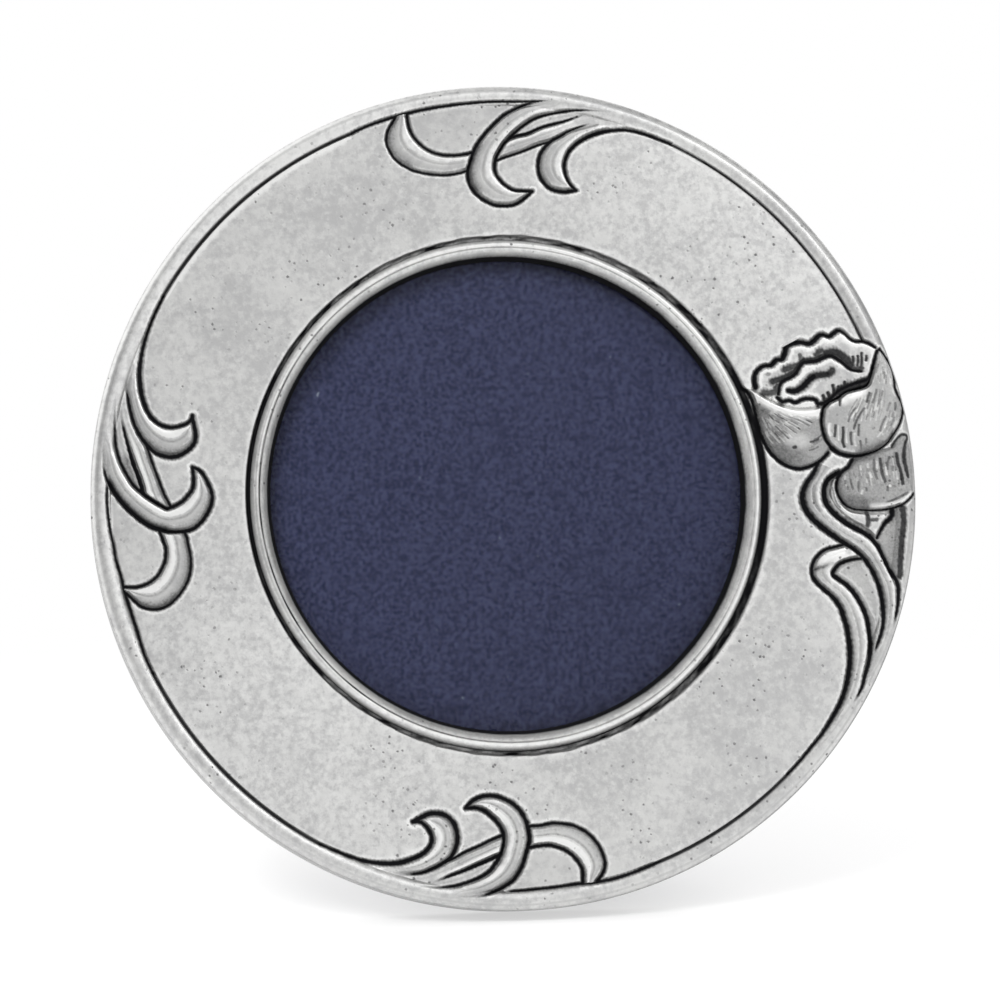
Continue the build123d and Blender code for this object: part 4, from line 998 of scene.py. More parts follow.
def engrave_petal_left(work):
    """The left petal: painted shade at the left, fine fanned strokes, some of them painted highlights, and
    a painted highlight along its rolled top.
    """
    petal = PETAL_LEFT_LOW + PETAL_LEFT_HIGH[::-1]
    work.ribbon(PETAL_LEFT_LOW, PETAL_LEFT_HIGH, 0.9, 0.85, 0.5, fold=None, film=0.0, foot=0.55)
    work.paint_light_and_shade(petal, PETAL_LEFT_LOW[1:9], 0.8, 0.44, 5.0)
    work.paint_light_and_shade(petal, [(38.2, 6.6), (39.6, 6.3)], -0.6, 0.0, 1.5)
    fan_low = [(34.2, 9.8), (34.7, 8.4), (35.0, 7.2), (36.3, 5.4)]
    fan_high = [(36.2, 10.9), (38.2, 10.0), (40.2, 9.7), (42.2, 8.9)]
    work.strokes(fan_low, fan_high, 34, 0.2, -0.3, cover=(0.3, 0.4))
    work.strokes(fan_low, fan_high, 31, 0.2, 0.66, cover=(0.28, 0.4))
    work.strokes(fan_low, fan_high, 23, 0.22, 0.72, cover=(0.4, 0.22))
    work.strokes([(40.2, 5.0), (41.6, 5.4), (42.6, 6.2)], [(40.6, 6.4), (42.0, 6.9), (43.0, 7.8)],
                 6, 0.28, 0.75, cover=(0.1, 0.6))
    work.cut([(38.55, 5.5), (38.75, 5.55)], 0.55, 0.1, black=0.95, edge_highlight=0.0)
    rolled_top = [(33.6, 13.2), (35.4, 12.0), (37.2, 11.2), (39.0, 10.7), (41.2, 10.6), (43.0, 10.9)]
    # A painted highlight along the rolled top.
    work.paint_light_and_shade(petal, rolled_top, -3.0, 0.0, 1.5)
    work.cut(PETAL_LEFT_LOW[:14], (0.5, 0.6, 0.6, 0.65), 0.32)


def engrave_mouth(work):
    """The ruffled mouth: painted highlights on its scalloped edge and inner band, painted shade in the
    folds down to the throat and under the lip, a black slot and a lip.
    """
    ring, inner = THROAT + RUFFLE[::-1], THROAT + LIP[::-1]
    work.ribbon(MOUTH_LOW, RUFFLE, 0.85, 0.85, 0.15, fold=None, film=0.0, foot=0.95)
    work.paint_light_and_shade(ring, RUFFLE, -0.8, -0.12, 1.6)
    work.paint_light_and_shade(MOUTH_LOW[:8] + LIP[10::-1], MOUTH_LOW[:8], -1.4, -1.0, 1.0)
    for fold, reach, film in RUFFLE_FOLD_SHADE:
        work.paint_soft_shade(fold, reach, film)
    for tick in RUFFLE_TICKS:
        work.cut(tick, (0.4, 0.5, 0.45), 0.12, (0.2, 0.2), 0.95, 0.0)
    work.paint_light_and_shade(inner, THROAT[:14], -1.1, -0.05, 1.4)
    work.paint_light_and_shade(inner, LIP[2:9], -0.8, 0.0, 1.1)
    for tick in LIP_TICKS:
        work.cut(tick, (0.45, 0.6, 0.6), 0.12, (0.2, 0.1), 0.97, 0.0)
    work.paint_soft_shade([(43.2, 11.7), (44.2, 12.4), (45.2, 13.0)], 0.6, 0.95)
    work.paint_soft_shade(LIP_SHADOW, 1.05, 0.97)
    work.cut(RUFFLE, (0.65, 0.8, 0.9, 0.7, 0.5), 0.36)
    work.cut(THROAT, (0.55, 0.7, 0.75, 0.65, 0.4), 0.36, (0.3, 0.8), 1.0, 0.2)
    work.cut(SLOT, (0.8, 1.1, 1.0), 0.45)
    work.paint_soft_shade(SLOT_UPPER, 0.85, 0.95)
    work.cut(SLOT_UPPER, (0.9, 0.8, 0.6, 0.3), 0.4, (0.0, 0.8), 0.97, 0.0)
    work.cut(LIP, (0.6, 0.65, 0.65, 0.6, 0.5, 0.45), 0.36)


# Strokes drawn one by one; those below 0 are painted highlights.
PETAL_RIGHT_STROKES = [
    ([(44.3, 8.6), (44.25, 7.7), (44.1, 6.7)], 0.43, 0.9),
    ([(46.4, 7.6), (46.3, 6.8), (46.4, 5.6)], 0.45, 0.85),
    ([(45.3, 8.3), (45.3, 7.2), (45.2, 6.2), (45.5, 5.3)], 0.47, 0.95),
    ([(47.45, 8.6), (47.4, 7.6), (47.35, 6.8)], 0.4, 0.85),
    ([(47.55, 6.4), (47.7, 5.6), (47.7, 4.8)], 0.38, 0.8), ([(48.4, 6.7), (48.4, 5.8)], 0.38, 0.7),
    ([(46.0, 8.7), (46.3, 9.6), (46.8, 10.3), (47.2, 10.8)], 0.35, 0.75),
    ([(46.7, 7.7), (47.0, 8.6), (47.4, 9.4), (48.0, 10.3), (48.4, 10.8)], 0.38, 0.85),
    ([(48.6, 11.3), (48.9, 12.2), (49.15, 12.9)], 0.45, 0.85),
    ([(49.4, 11.2), (49.8, 12.2), (50.1, 13.3)], 0.38, 0.75),
    ([(50.2, 11.1), (50.6, 12.0), (50.9, 13.1)], 0.35, 0.6),
    ([(50.3, 7.4), (50.7, 8.6), (51.3, 9.6)], 0.38, 0.75), ([(49.2, 7.7), (49.7, 8.1)], 0.33, 0.6),
    ([(51.3, 10.1), (51.6, 10.7), (51.9, 11.5)], 0.38, 0.6),
    ([(52.55, 11.5), (52.6, 10.9), (52.5, 10.2)], 0.4, 0.8),
    ([(51.0, 6.0), (51.7, 6.6), (52.2, 7.3)], 0.53, 0.7), ([(52.0, 9.3), (52.3, 10.0)], 0.35, 0.6),
    ([(50.9, 7.4), (51.5, 8.2), (51.7, 8.9)], 0.4, 0.5),
    ([(43.6, 8.8), (43.5, 7.8), (43.6, 6.9)], 0.5, -0.8),
    ([(44.75, 8.5), (44.75, 7.4), (44.7, 6.3)], 0.3, -0.6),
    ([(45.9, 8.1), (45.8, 7.0), (45.8, 5.9)], 0.3, -0.6),
    ([(46.9, 7.4), (46.9, 6.4), (47.0, 5.5)], 0.34, -0.6),
    ([(46.4, 9.2), (46.9, 10.0), (47.4, 10.6)], 0.22, -0.5),
    ([(50.9, 7.9), (51.3, 8.8), (51.6, 9.4)], 0.22, -0.5),
]


def engrave_petal_right(work):
    """The right petal: painted highlights along its upper edge and painted shade along its lower and right
    edges, with upright strokes at the left and curved ones that follow its round, some of them painted
    highlights.
    """
    petal = PETAL_RIGHT_LOW + PETAL_RIGHT_HIGH[::-1]
    work.ribbon(PETAL_RIGHT_LOW, PETAL_RIGHT_HIGH, 1.0, 0.6, 0.35, fold=None, film=0.0, foot=0.4)
    work.paint_light_and_shade(petal, [(47.8, 4.9), (49.2, 5.1), (50.4, 5.7)], 0.42, 0.0, 1.4)
    work.paint_light_and_shade(petal, PETAL_RIGHT_LOW[12:16], 0.5, 0.31, 2.4)
    work.paint_light_and_shade(petal, PETAL_RIGHT_HIGH[:5], -0.8, 0.0, 1.4)
    work.paint_light_and_shade(petal, [(45.4, 11.5), (46.8, 12.1), (48.2, 12.9)], -0.7, 0.0, 0.9)
    sweeps = [
        ([(45.6, 8.6), (46.4, 10.4), (47.9, 12.6)], [(50.4, 8.8), (50.9, 11.0), (51.2, 13.8)], 19),
        ([(49.8, 6.6), (51.3, 8.4), (51.9, 10.8)], [(52.1, 7.6), (53.0, 9.6), (53.1, 11.4)], 8),
        ([(49.6, 14.0), (50.1, 15.4), (50.6, 17.0)], [(52.2, 13.4), (52.1, 15.2), (51.5, 17.0)], 8),
    ]
    for low, high, count in sweeps:
        work.strokes(low, high, count + 3, 0.22, -0.35, cover=(0.2, 0.5))
        work.strokes(low, high, count, 0.24, 0.55, cover=(0.22, 0.48))
    bold_strokes(work, PETAL_RIGHT_STROKES)
    work.cut([(45.0, 12.3), (45.0, 11.7), (44.95, 11.0)], (0.6, 0.4, 0.25), 0.15, black=0.9, edge_highlight=0.0)
    work.cut(PETAL_RIGHT_LOW, (0.55, 0.75, 0.65, 0.3, 0.45, 0.5, 0.4), 0.34)
    work.cut(PETAL_RIGHT_HIGH, (0.5, 0.45, 0.5), 0.3)


flower_first, flower_last = SECTORS["flower"]
for name, first, last in (("stems", flower_first, FLOWER_SPLIT), ("flower", FLOWER_SPLIT, flower_last)):
    work = Relief(first, last, SECTOR_INNER_R["flower"], *FLOWER_RIM_ENDS)
    engrave_stems(work)
    engrave_calyx(work)
    engrave_petal_left(work)
    engrave_mouth(work)
    engrave_petal_right(work)
    work.piece(name)

# Glass: a plain round pane of float glass with ground edges. It lies in the casting's pocket behind the
# window, and is held there by the cards and the board that lie on it.
GLASS_R = 35.9
GLASS_SPAN = (3.42, 5.0)
GLASS_GROUND = 0.15
GLASS_IOR = 1.2
GLASS_TINT = (0.975, 0.985, 0.98, 1.0)


def lathe(section, place, columns):
    """Closed turned surface: (r cos a, r sin a, n) over the (r, n) points of a section that starts and
    ends on the axis, at the lower end first. Gives points and faces."""
    r, n = np.array(section[1:-1], float).T[:, :, None]
    a = np.linspace(0, 2 * pi, columns, endpoint=False)
    grid = place(r * np.cos(a), r * np.sin(a), n + 0 * a).reshape(-1, 3)
    ends = place(np.zeros(2), np.zeros(2), np.array([section[0][1], section[-1][1]], float))
    here = np.arange(columns)
    after = (here + 1) % columns
    last = (len(r) - 1) * columns
    low, high = len(grid), len(grid) + 1
    fans = [(low, b, a) for a, b in zip(here, after)]
    fans += [(high, last + a, last + b) for a, b in zip(here, after)]
    return np.concatenate([grid, ends]), grid_faces(len(r), columns, False, True).tolist() + fans


def disc(r, span, soft, columns=160):
    """A flat disc of the face between two heights, with eased edges."""
    low, high = span
    ease = 0.3 * soft
    section = [(0, low), (r - soft, low), (r - ease, low + ease), (r, low + soft)]
    section += [(r, high - soft), (r - ease, high - ease), (r - soft, high), (0, high)]
    return lathe(section, on_face, columns)


def add(name, surface, material, body, node, crisp=35):
    """A piece from points and faces, in its place. Edges that turn by more than crisp, in degrees, stay
    sharp."""
    made = mesh_object(name, *surface, material)
    if crisp:
        made.data.set_sharp_from_angle(angle=radians(crisp))
    fit(made, body, node)
    return made


glass = bpy.data.materials.new("clear_glass")
pane = bare_tree(glass)
shine = pane.node("ShaderNodeFresnel", inputs={"IOR": GLASS_IOR})
clear = pane.node("ShaderNodeBsdfTransparent", inputs={"Color": GLASS_TINT})
gloss = pane.node("ShaderNodeBsdfGlossy", inputs={"Roughness": 0.02})
both = pane.node("ShaderNodeMixShader", inputs={0: shine, 1: clear, 2: gloss})
pane.node("ShaderNodeOutputMaterial", inputs={"Surface": both})
add("glass_pane", disc(GLASS_R, GLASS_SPAN, GLASS_GROUND), glass, "frame", "glass_disc")

# Photo card: a round of matt navy card with a fine grain, cut to the casting's pocket. It isn't glued: the
# card behind it presses it against the glass.
CARD_SPAN = (3.02, 3.38)
CARD_EASE = 0.03
NAVY = (0.045, 0.049, 0.104, 1.0)
NAVY_DARK = (0.017, 0.019, 0.050, 1.0)
SPECK = (0.28, 0.30, 0.36, 1.0)

card, paper, card_shader = new_finish("navy_card")
weave = noise(paper, 1900.0, 3.0, 0.7)
specks = noise(paper, 1600.0, 1.0, 0.4).clamp(0.80, 0.84)
tone = blend(paper, weave.clamp(0.37, 0.63), NAVY_DARK, NAVY)
paper.fill(card_shader, {
    "Base Color": blend(paper, 0.7 * specks, tone, SPECK),
    "Roughness": 0.9,
    "Specular IOR Level": 0.1,
    "Normal": bump(paper, 0.3, 0.00005, weave),
})
add("navy_card", disc(GLASS_R, CARD_SPAN, CARD_EASE), card, "frame", "photo_card")

# Pressing card and back board: a thin round of grey-brown card behind the photo, and a stiff pressed board
# over it that lies in the casting's recess and carries the hinge and the hanger.
PRESS_SPAN = (2.42, 2.98)
PRESS_EASE = 0.08
BOARD_R = 46.2
BOARD_SPAN = (0.5, 2.4)
BOARD_EASE = 0.12


def fibre_board(name, light, dark):
    """Pressed fibre: long soft flecks in two tones and a dull fibrous surface."""
    material, wire, shader = new_finish(name)
    fibre = noise(wire, 900.0, 4.0, 0.7, (1.0, 1.0, 0.25))
    fleck = noise(wire, 260.0, 2.0, 0.5).clamp(0.58, 0.72)
    wire.fill(shader, {
        "Base Color": blend(wire, fibre.clamp(0.3, 0.7) * (1 - 0.5 * fleck), dark, light),
        "Roughness": 0.8 + 0.15 * fibre,
        "Normal": bump(wire, 0.4, 0.0001, fibre),
    })
    return material


press_fibre = fibre_board("pressing_card", (0.36, 0.29, 0.19, 1.0), (0.24, 0.185, 0.12, 1.0))
board_fibre = fibre_board("pressed_board", (0.17, 0.12, 0.085, 1.0), (0.10, 0.07, 0.05, 1.0))
add("pressing_card", disc(GLASS_R, PRESS_SPAN, PRESS_EASE, 128), press_fibre, "frame", "backing_pad")
add("pressed_board", disc(BOARD_R, BOARD_SPAN, BOARD_EASE), board_fibre, "frame", "back_board")

# Back velvet: a round of dark blue velvet with a short pile, cut to the size of the board and glued over
# all its back.
VELVET_SPAN = (0.1, 0.5)
VELVET_EASE = 0.15
VELVET_DEEP = (0.010, 0.011, 0.026, 1.0)
VELVET_PILE = (0.034, 0.037, 0.080, 1.0)
VELVET_SHEEN = (0.45, 0.5, 0.8, 1.0)

velvet, cloth, velvet_shader = new_finish("velvet")
nap = noise(cloth, 2600.0, 2.0, 0.6)
brushed = noise(cloth, 70.0, 3.0, 0.55)
cloth.fill(velvet_shader, {
    "Base Color": blend(cloth, (0.6 * nap + 0.55 * brushed).clamp(0.35, 0.8), VELVET_DEEP, VELVET_PILE),
    "Roughness": 0.85 + 0.12 * nap,
    "Sheen Weight": 0.6,
    "Sheen Roughness": 0.4,
    "Sheen Tint": VELVET_SHEEN,
    "Specular IOR Level": 0.1,
    "Normal": bump(cloth, 0.6, 0.00015, nap + 0.4 * brushed),
})
round_cut = disc(BOARD_R, VELVET_SPAN, VELVET_EASE)
made = add("velvet_back", round_cut, velvet, "frame", "back_velvet", None)

# Turn buttons and their screws: four pressed brass tongues that hold the board, each free to turn on a
# slotted round-head screw in the back of the casting.
BUTTON_PLACES = (45, 135, 225, 315)
BUTTON_PIVOT_R = BACK_MIDDLE_R
BUTTON_SPAN = (-0.85, -0.05)
BUTTON_EASE = 0.22
BUTTON_HEAD_R = 3.2
TONGUE_R = 2.1
TONGUE_REACH = 7.2
SCREW_R = 1.2
SCREW_HOLE_R = 1.27
SCREW_HEAD_R = 2.3
SCREW_HEAD_SPAN = (-2.1, -0.9)
SCREW_SLOT_HALF = 0.3
SCREW_SLOT_N = -1.6
SCREW_DEPTH = 4.4
SHANK_TOP = -0.95
THREAD_PITCH = 0.6
THREAD_DEPTH = 0.25
FLAT_MARGIN = 0.12
BRASS = (0.80, 0.57, 0.24, 1.0)
BRASS_DULL = (0.55, 0.37, 0.15, 1.0)
TARNISH = (0.12, 0.075, 0.035, 1.0)

brass, alloy, brass_shader = new_finish("brass")
patch = noise(alloy, 190.0, 4.0, 0.6)
fine = noise(alloy, 1500.0, 3.0, 0.6)
brush = noise(alloy, 5200.0, 2.0, 0.6, (0.12, 1.0, 1.0))
spots = (0.7 * patch + 0.45 * fine).clamp(0.58, 0.78)
tone = blend(alloy, patch.clamp(0.35, 0.7), BRASS, BRASS_DULL)
alloy.fill(brass_shader, {
    "Base Color": blend(alloy, 0.65 * spots, tone, TARNISH),
    "Roughness": 0.14 + 0.12 * patch + 0.08 * brush + 0.3 * spots,
    "Metallic": 1.0,
    "Normal": bump(alloy, 0.15, 0.00005, brush + 0.5 * fine),
})


def moved(place, x, y, turn=0.0):
    """A place function of the same frame, turned about n and moved along x and y."""
    c, s = cos(turn), sin(turn)
    return lambda px, py, n: place(c * px - s * py + x, s * px + c * py + y, n)


def inset(outline, depth):
    """A closed outline, anticlockwise, moved inwards along its corner normals."""
    along = np.roll(outline, -1, axis=0) - outline
    normal = np.stack([along[:, 1], -along[:, 0]], -1) / np.linalg.norm(along, axis=1, keepdims=True)
    before = np.roll(normal, 1, axis=0)
    corner = (normal + before) / (1 + (normal * before).sum(1, keepdims=True))
    return outline - depth * corner


def plate(outline, low, high, soft, place=on_face, hole=None):
    """Closed plate over an outline, anticlockwise, between two heights, with rounded edges: one ring of
    points for each step of its section, the first and last on its flats. With a hole, an outline with as
    many points, the section runs on round it."""
    outline = np.array(outline, float)
    flat = soft + FLAT_MARGIN
    ease = 0.3 * soft
    steps = [(flat, low), (soft, low), (ease, low + ease), (0, low + soft)]
    steps += [(0, high - soft), (ease, high - ease), (soft, high), (flat, high)]
    rings = [np.column_stack([inset(outline, depth), np.full(len(outline), n)]) for depth, n in steps]
    if hole is not None:
        hole = np.array(hole, float)
        rings += [np.column_stack([hole, np.full(len(hole), n)]) for n in (high, low)]
    count = len(outline)
    points = place(*np.array(rings).transpose(2, 0, 1)).reshape(-1, 3)
    faces = grid_faces(len(rings), count, hole is not None, True).tolist()
    if hole is None:
        faces += [list(range(count))[::-1], list(range(len(points) - count, len(points)))]
    return points, faces


def joined(*parts):
    """Several closed surfaces as one list of points and faces."""
    points, faces, count = [], [], 0
    for part_points, part_faces in parts:
        points.append(part_points)
        faces += [[number + count for number in face] for face in part_faces]
        count += len(part_points)
    return np.concatenate(points), faces


def slotted_head(r, low, high, half_slot, slot_n, place):
    """Domed screw head, low being its crown: points (x, v sqrt(r^2 - x^2)) with v from -1 to 1, at the
    height of the dome, or of the slot's floor where x is within the slot."""
    side = np.array([0.16, 0.3, 0.5, 0.7, 0.85, 0.95, 0.995]) * r
    slot = [-half_slot - 0.02, -half_slot, half_slot, half_slot + 0.02]
    x = np.concatenate([-side[::-1], slot, side])[:, None]
    v = np.linspace(-1, 1, 25)[None, :]
    y = v * np.sqrt(r * r - x * x)
    dome = low + (high - low) * 0.75 * ((x * x + y * y) / r**2)**1.6
    n = np.where(np.abs(x) <= half_slot + 0.001, slot_n, dome)
    points, faces, _ = walled(x + 0 * y, y, n, high, place)
    return points, [face[::-1] for face in faces]


lean_in = np.arccos((BUTTON_HEAD_R - TONGUE_R) / TONGUE_REACH)
head_turn = np.linspace(lean_in - pi, pi - lean_in, 49)
tongue_turn = np.linspace(pi - lean_in, pi + lean_in, 31)
ring = np.concatenate([
    BUTTON_HEAD_R * np.stack([np.cos(head_turn), np.sin(head_turn)], -1),
    TONGUE_R * np.stack([np.cos(tongue_turn), np.sin(tongue_turn)], -1) - (TONGUE_REACH, 0),
])
bore_turn = np.arctan2(ring[:, 1], ring[:, 0])
bore = SCREW_HOLE_R * np.stack([np.cos(bore_turn), np.sin(bore_turn)], -1)
screw_parts = []
for number, degrees in enumerate(BUTTON_PLACES, 1):
    centre = (BUTTON_PIVOT_R * cos(radians(degrees)), BUTTON_PIVOT_R * sin(radians(degrees)))
    at_pivot = moved(on_face, *centre, turn=radians(degrees))
    tongue = plate(ring, *BUTTON_SPAN, BUTTON_EASE, at_pivot, bore)
    add(f"button_{number}", tongue, brass, f"turn_button_{number}", f"turn_button_{number}")
    crests = np.arange(0.2, SCREW_DEPTH - 0.5, THREAD_PITCH / 2)
    thread = [(SCREW_R - (THREAD_DEPTH if k % 2 else 0.0), n) for k, n in enumerate(crests)]
    tip = [(0.5, SCREW_DEPTH - 0.1), (0, SCREW_DEPTH)]
    shank = [(0, SHANK_TOP), (SCREW_R, SHANK_TOP), (SCREW_R, 0.0)] + thread + tip
    screw_parts += [
        slotted_head(SCREW_HEAD_R, *SCREW_HEAD_SPAN, SCREW_SLOT_HALF, SCREW_SLOT_N,
                     moved(on_face, *centre, turn=radians(degrees + 25 * number))),
        lathe(shank, moved(on_face, *centre), 32),
    ]
add("button_screws", joined(*screw_parts), brass, "frame", "turn_button_screws")

# Stop hinge: two pressed brass leaves rolled about a headed pin. One is riveted to the back board, the
# other to the strut, and the strut leaf's heel stops against the back leaf when the strut is open.
HINGE_V = 14.0
PIN_N = -1.85
KNUCKLE_R = 1.8
KNUCKLE_BORE_R = 0.96
KNUCKLE_MID_HALF = 4.0
KNUCKLE_PLAY = 0.1
LEAF_HALF_W = 10.0
LEAF_LEN = 13.0
LEAF_SPAN = (-0.7, 0.1)
LEAF_CORNER_R = 1.6
LEAF_EASE = 0.16
NOTCH = 2.1
NOTCH_CORNER_R = 0.4
KNUCKLE_EASE = 0.15
TUBE_SIDES = 48
PIN_R = 0.9
PIN_HEAD_R = 1.3
PIN_HEAD_T = 0.4
RIVET_R = 0.8
RIVET_HEAD_R = 1.6
RIVET_TAIL_R = RIVET_HEAD_R - 0.1
RIVET_HEAD_T = 0.6
RIVET_X = 6.5
RIVET_Y = 8.0
BOARD_RIVET_TAIL = 2.38
LEG_RIVET_TAIL = 1.45
STRUT_OPEN = radians(22.0)
HEEL = 5.86
HEEL_CORNER_R = 0.5
LEG_LEAF_SPAN = (-1.95, -1.15)

PIN_AT = ORIGIN + MM * (HINGE_V * UP + PIN_N * FRONT)
LEG_UP = np.array([0.0, sin(LEAN - STRUT_OPEN), cos(LEAN - STRUT_OPEN)])
LEG_FRONT = np.cross(ACROSS, LEG_UP)
on_leg = laid_out(PIN_AT, ACROSS, LEG_UP, LEG_FRONT)
along_pin = laid_out(PIN_AT, UP, FRONT, ACROSS)


def tube(outer, bore, low, high, soft, place):
    """Closed tube with eased ends: the rings of its section run round outside and back inside."""
    section = np.array([
        (outer - soft, low), (outer, low + soft), (outer, high - soft), (outer - soft, high),
        (bore + soft, high), (bore, high - soft), (bore, low + soft), (bore + soft, low),
    ])
    r, n = section.T[:, :, None]
    a = np.linspace(0, 2 * pi, TUBE_SIDES, endpoint=False)
    points = place(r * np.cos(a), r * np.sin(a), n + 0 * a).reshape(-1, 3)
    return points, grid_faces(len(section), TUBE_SIDES, True, True)


def rounded(corners, radii, step=6):
    """A closed outline with an arc at each corner: the corner's two neighbours give its directions."""
    corners = np.array(corners, float)
    points = []
    for before, here, after, r in zip(np.roll(corners, 1, 0), corners, np.roll(corners, -1, 0), radii):
        u = (before - here) / np.linalg.norm(before - here)
        v = (after - here) / np.linalg.norm(after - here)
        t = np.linspace(0, 1, step if r else 1)[:, None]
        reach = r / np.tan(np.arccos(np.clip(u @ v, -1, 1)) / 2)
        a, b = here + u * reach, here + v * reach
        points.append(((1 - t)**2 * a + 2 * t * (1 - t) * here + t**2 * b))
    return np.concatenate(points)


def rivet(head_n, tail_n, place):
    """Round-headed rivet along n: a domed head outwards of head_n, its shank, and a flush tail."""
    turns = np.radians([0, 18, 36, 54, 72, 84])
    dome = [(RIVET_HEAD_R * sin(t), head_n - RIVET_HEAD_T * cos(t)) for t in turns]
    shank = [(RIVET_HEAD_R, head_n), (RIVET_R, head_n), (RIVET_R, tail_n - RIVET_HEAD_T)]
    tail = [(RIVET_TAIL_R, tail_n - RIVET_HEAD_T + 0.05), (RIVET_TAIL_R, tail_n - 0.08)]
    return lathe(dome + shank + tail + [(RIVET_HEAD_R - 0.3, tail_n), (0, tail_n)], place, 40)


gap = KNUCKLE_MID_HALF + KNUCKLE_PLAY
w, top, notch = LEAF_HALF_W, HINGE_V + LEAF_LEN, HINGE_V + NOTCH
leaf = rounded(
    [(-w, HINGE_V), (-gap, HINGE_V), (-gap, notch), (gap, notch),
     (gap, HINGE_V), (w, HINGE_V), (w, top), (-w, top)],
    [0, 0, NOTCH_CORNER_R, NOTCH_CORNER_R, 0, 0, LEAF_CORNER_R, LEAF_CORNER_R],
)
leaf_back = joined(
    plate(leaf, *LEAF_SPAN, LEAF_EASE),
    tube(KNUCKLE_R, PIN_R + 0.02, gap, w, KNUCKLE_EASE, along_pin),
    tube(KNUCKLE_R, PIN_R + 0.02, -w, -gap, KNUCKLE_EASE, along_pin),
)
add("hinge_back", leaf_back, brass, "frame", "hinge_leaf_back")
m = KNUCKLE_MID_HALF
leaf = rounded(
    [(-w, -LEAF_LEN), (w, -LEAF_LEN), (w, -NOTCH), (m, -NOTCH),
     (m, HEEL), (-m, HEEL), (-m, -NOTCH), (-w, -NOTCH)],
    [LEAF_CORNER_R, LEAF_CORNER_R, NOTCH_CORNER_R, NOTCH_CORNER_R,
     HEEL_CORNER_R, HEEL_CORNER_R, NOTCH_CORNER_R, NOTCH_CORNER_R],
)
leaf_strut = joined(
    plate(leaf, *LEG_LEAF_SPAN, LEAF_EASE, on_leg),
    tube(KNUCKLE_R, KNUCKLE_BORE_R, -m, m, KNUCKLE_EASE, along_pin),
)
add("hinge_strut", leaf_strut, brass, "strut", "hinge_leaf_strut")
end = LEAF_HALF_W + PIN_HEAD_T
pin_half = [(0, end), (0.6, end - 0.02), (1.0, end - 0.1), (PIN_HEAD_R, end - 0.25)]
pin_half += [(PIN_HEAD_R, end - PIN_HEAD_T), (PIN_R, end - PIN_HEAD_T)]
pin_section = [(r, -n) for r, n in pin_half] + pin_half[::-1]
add("hinge_pin_headed", lathe(pin_section, along_pin, 48), brass, "frame", "hinge_pin")
sides = (-RIVET_X, RIVET_X)
pair = [rivet(LEAF_SPAN[0], BOARD_RIVET_TAIL, moved(on_face, x, HINGE_V + RIVET_Y)) for x in sides]
add("back_leaf_rivets", joined(*pair), brass, "frame", "hinge_rivets_back")
pair = [rivet(LEG_LEAF_SPAN[0], LEG_RIVET_TAIL, moved(on_leg, x, -RIVET_Y)) for x in sides]
add("strut_leaf_rivets", joined(*pair), brass, "strut", "hinge_rivets_strut")

# Strut: a stiff pressed board, tapering to a narrower top, with one piece of the same velvet wrapped round
# it. Its foot is cut level with the table.
STRUT_TOP = -2.4
STRUT_FOOT = -66.67
STRUT_HALF_TOP = 12.5
STRUT_HALF_FOOT = 15.5
STRUT_CORNER_R = 4.0
STRUT_SPAN = (-1.15, 1.45)
STRUT_FOOT_CORNER_R = 0.8
STRUT_FIT = 0.02
CORE_EASE = 0.2
COVER_EASE = 0.6
LINING_EASE = 0.3
VELVET_T = 0.4


def leg_block(depth, soft):
    """The strut's flat leg, inset all round: a rounded plate whose foot is cut by the table's plane."""
    top, foot = STRUT_TOP - depth, STRUT_FOOT + depth
    half_top, half_foot = STRUT_HALF_TOP - depth, STRUT_HALF_FOOT - depth
    outline = rounded(
        [(-half_foot, foot), (half_foot, foot), (half_top, top), (-half_top, top)],
        [STRUT_FOOT_CORNER_R] * 2 + [STRUT_CORNER_R - depth] * 2, 9,
    )

    def cut_level(x, y, n):
        """Leg coordinates with the foot sheared to lie on the table."""
        share = np.clip((STRUT_TOP - y) / (STRUT_TOP - STRUT_FOOT), 0, 1)
        return on_leg(x, y + share * n * np.tan(STRUT_OPEN - LEAN), n)

    return plate(outline, STRUT_SPAN[0] + depth, STRUT_SPAN[1] - depth, soft, cut_level)


core = leg_block(VELVET_T + STRUT_FIT, CORE_EASE)
add("strut_core", core, board_fibre, "strut", "strut_board")
skin = leg_block(0.0, COVER_EASE)
lining_points, lining_faces = leg_block(VELVET_T, LINING_EASE)
lining = (lining_points, [face[::-1] for face in lining_faces])
made = add("strut_cover", joined(skin, lining), velvet, "strut", "strut_velvet", 60)

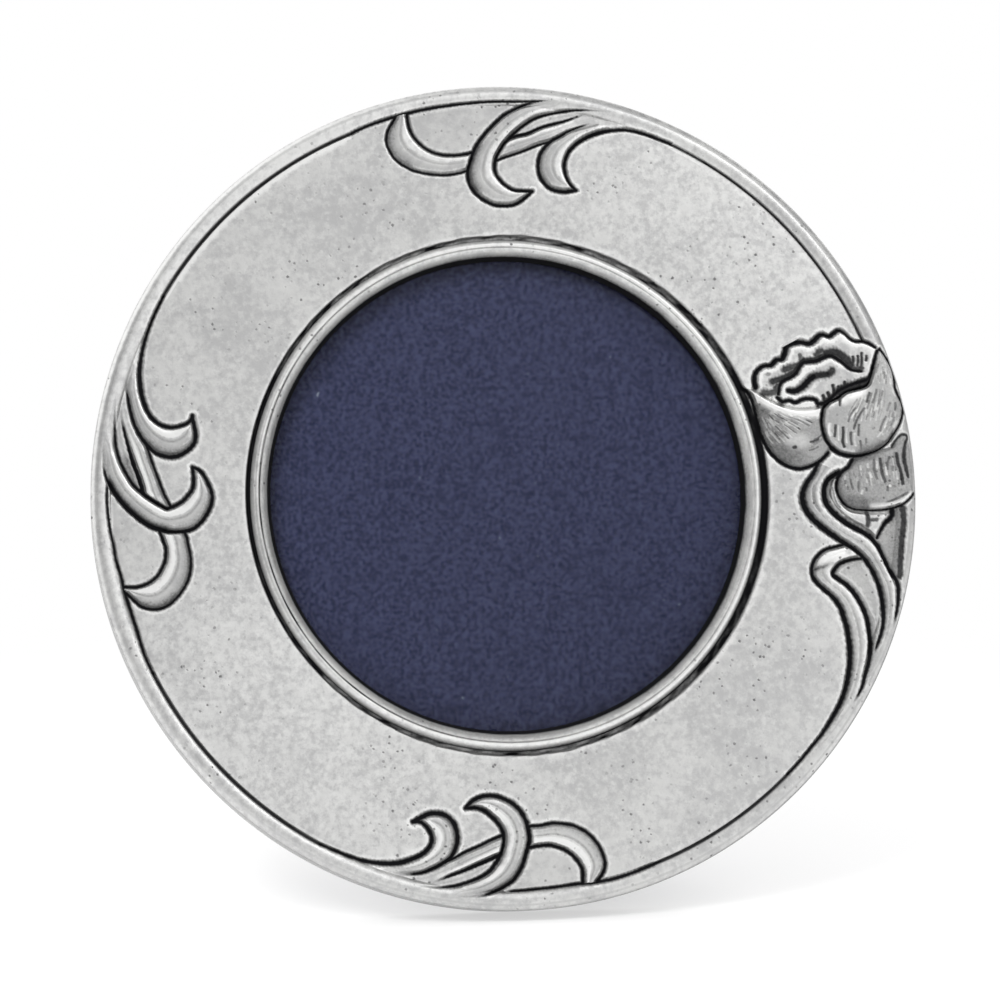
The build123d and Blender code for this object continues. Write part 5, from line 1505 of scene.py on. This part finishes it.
# Hanger: a brass strap, rolled into an eye at its upper end and riveted to the back board, with a ring of
# bent brass wire that swings in the eye.
HANGER_V = 33.0
STRAP_SPAN = (-0.5, 0.1)
STRAP_HALF_W = 4.0
STRAP_LOW = 29.0
STRAP_CORNER_R = 1.8
STRAP_EASE = 0.14
EYE_V = 41.5
EYE_N = -1.45
EYE_R = 1.5
EYE_BORE_R = 0.66
WIRE_R = 0.6
WIRE_SIDES = 20
RING_HALF_W = 6.4
RING_CORNER_R = 1.8
RING_SIDE = 3.0

EYE_AT = ORIGIN + MM * (EYE_V * UP + EYE_N * FRONT)
along_eye = laid_out(EYE_AT, UP, FRONT, ACROSS)
w = STRAP_HALF_W
corners = [(-w, STRAP_LOW), (w, STRAP_LOW), (w, EYE_V), (-w, EYE_V)]
strap = joined(
    plate(rounded(corners, [STRAP_CORNER_R, STRAP_CORNER_R, 0, 0]), *STRAP_SPAN, STRAP_EASE),
    tube(EYE_R, EYE_BORE_R, -w, w, STRAP_EASE, along_eye),
)
add("strap_with_eye", strap, brass, "frame", "hanger_strap")
strap_rivet = rivet(STRAP_SPAN[0], BOARD_RIVET_TAIL, moved(on_face, 0.0, HANGER_V))
add("strap_rivet", strap_rivet, brass, "frame", "hanger_rivet")

shoulder = RING_HALF_W - RING_CORNER_R
corner = np.linspace(0, pi / 2, 10)
bow = np.linspace(0, pi, 41)
right = np.stack([shoulder + RING_CORNER_R * np.sin(corner), RING_CORNER_R * (np.cos(corner) - 1)], -1)
bottom = -RING_CORNER_R - RING_SIDE
path = np.concatenate([
    np.stack([np.linspace(-shoulder, shoulder, 12, endpoint=False), np.zeros(12)], -1), right,
    np.stack([RING_HALF_W * np.cos(bow), bottom - RING_HALF_W * np.sin(bow)], -1),
    (right * (-1, 1))[::-1][:-1],
])[:, None, :]
ahead = np.roll(path, -1, 0) - np.roll(path, 1, 0)
ahead = ahead / np.linalg.norm(ahead, axis=-1, keepdims=True)
a = np.linspace(0, 2 * pi, WIRE_SIDES, endpoint=False)[None, :, None]
side = np.concatenate([-ahead[..., 1:], ahead[..., :1]], -1)
flat = path + WIRE_R * np.cos(a) * side
depth = WIRE_R * np.sin(a[..., 0]) + 0 * flat[..., 0]
ring_points = EYE_AT + MM * np.stack([flat[..., 0], depth, flat[..., 1]], -1)
ring = ring_points, grid_faces(len(path), WIRE_SIDES, True, True)
add("wire_ring", ring, brass, "hanger_ring", "hanger_ring", None)
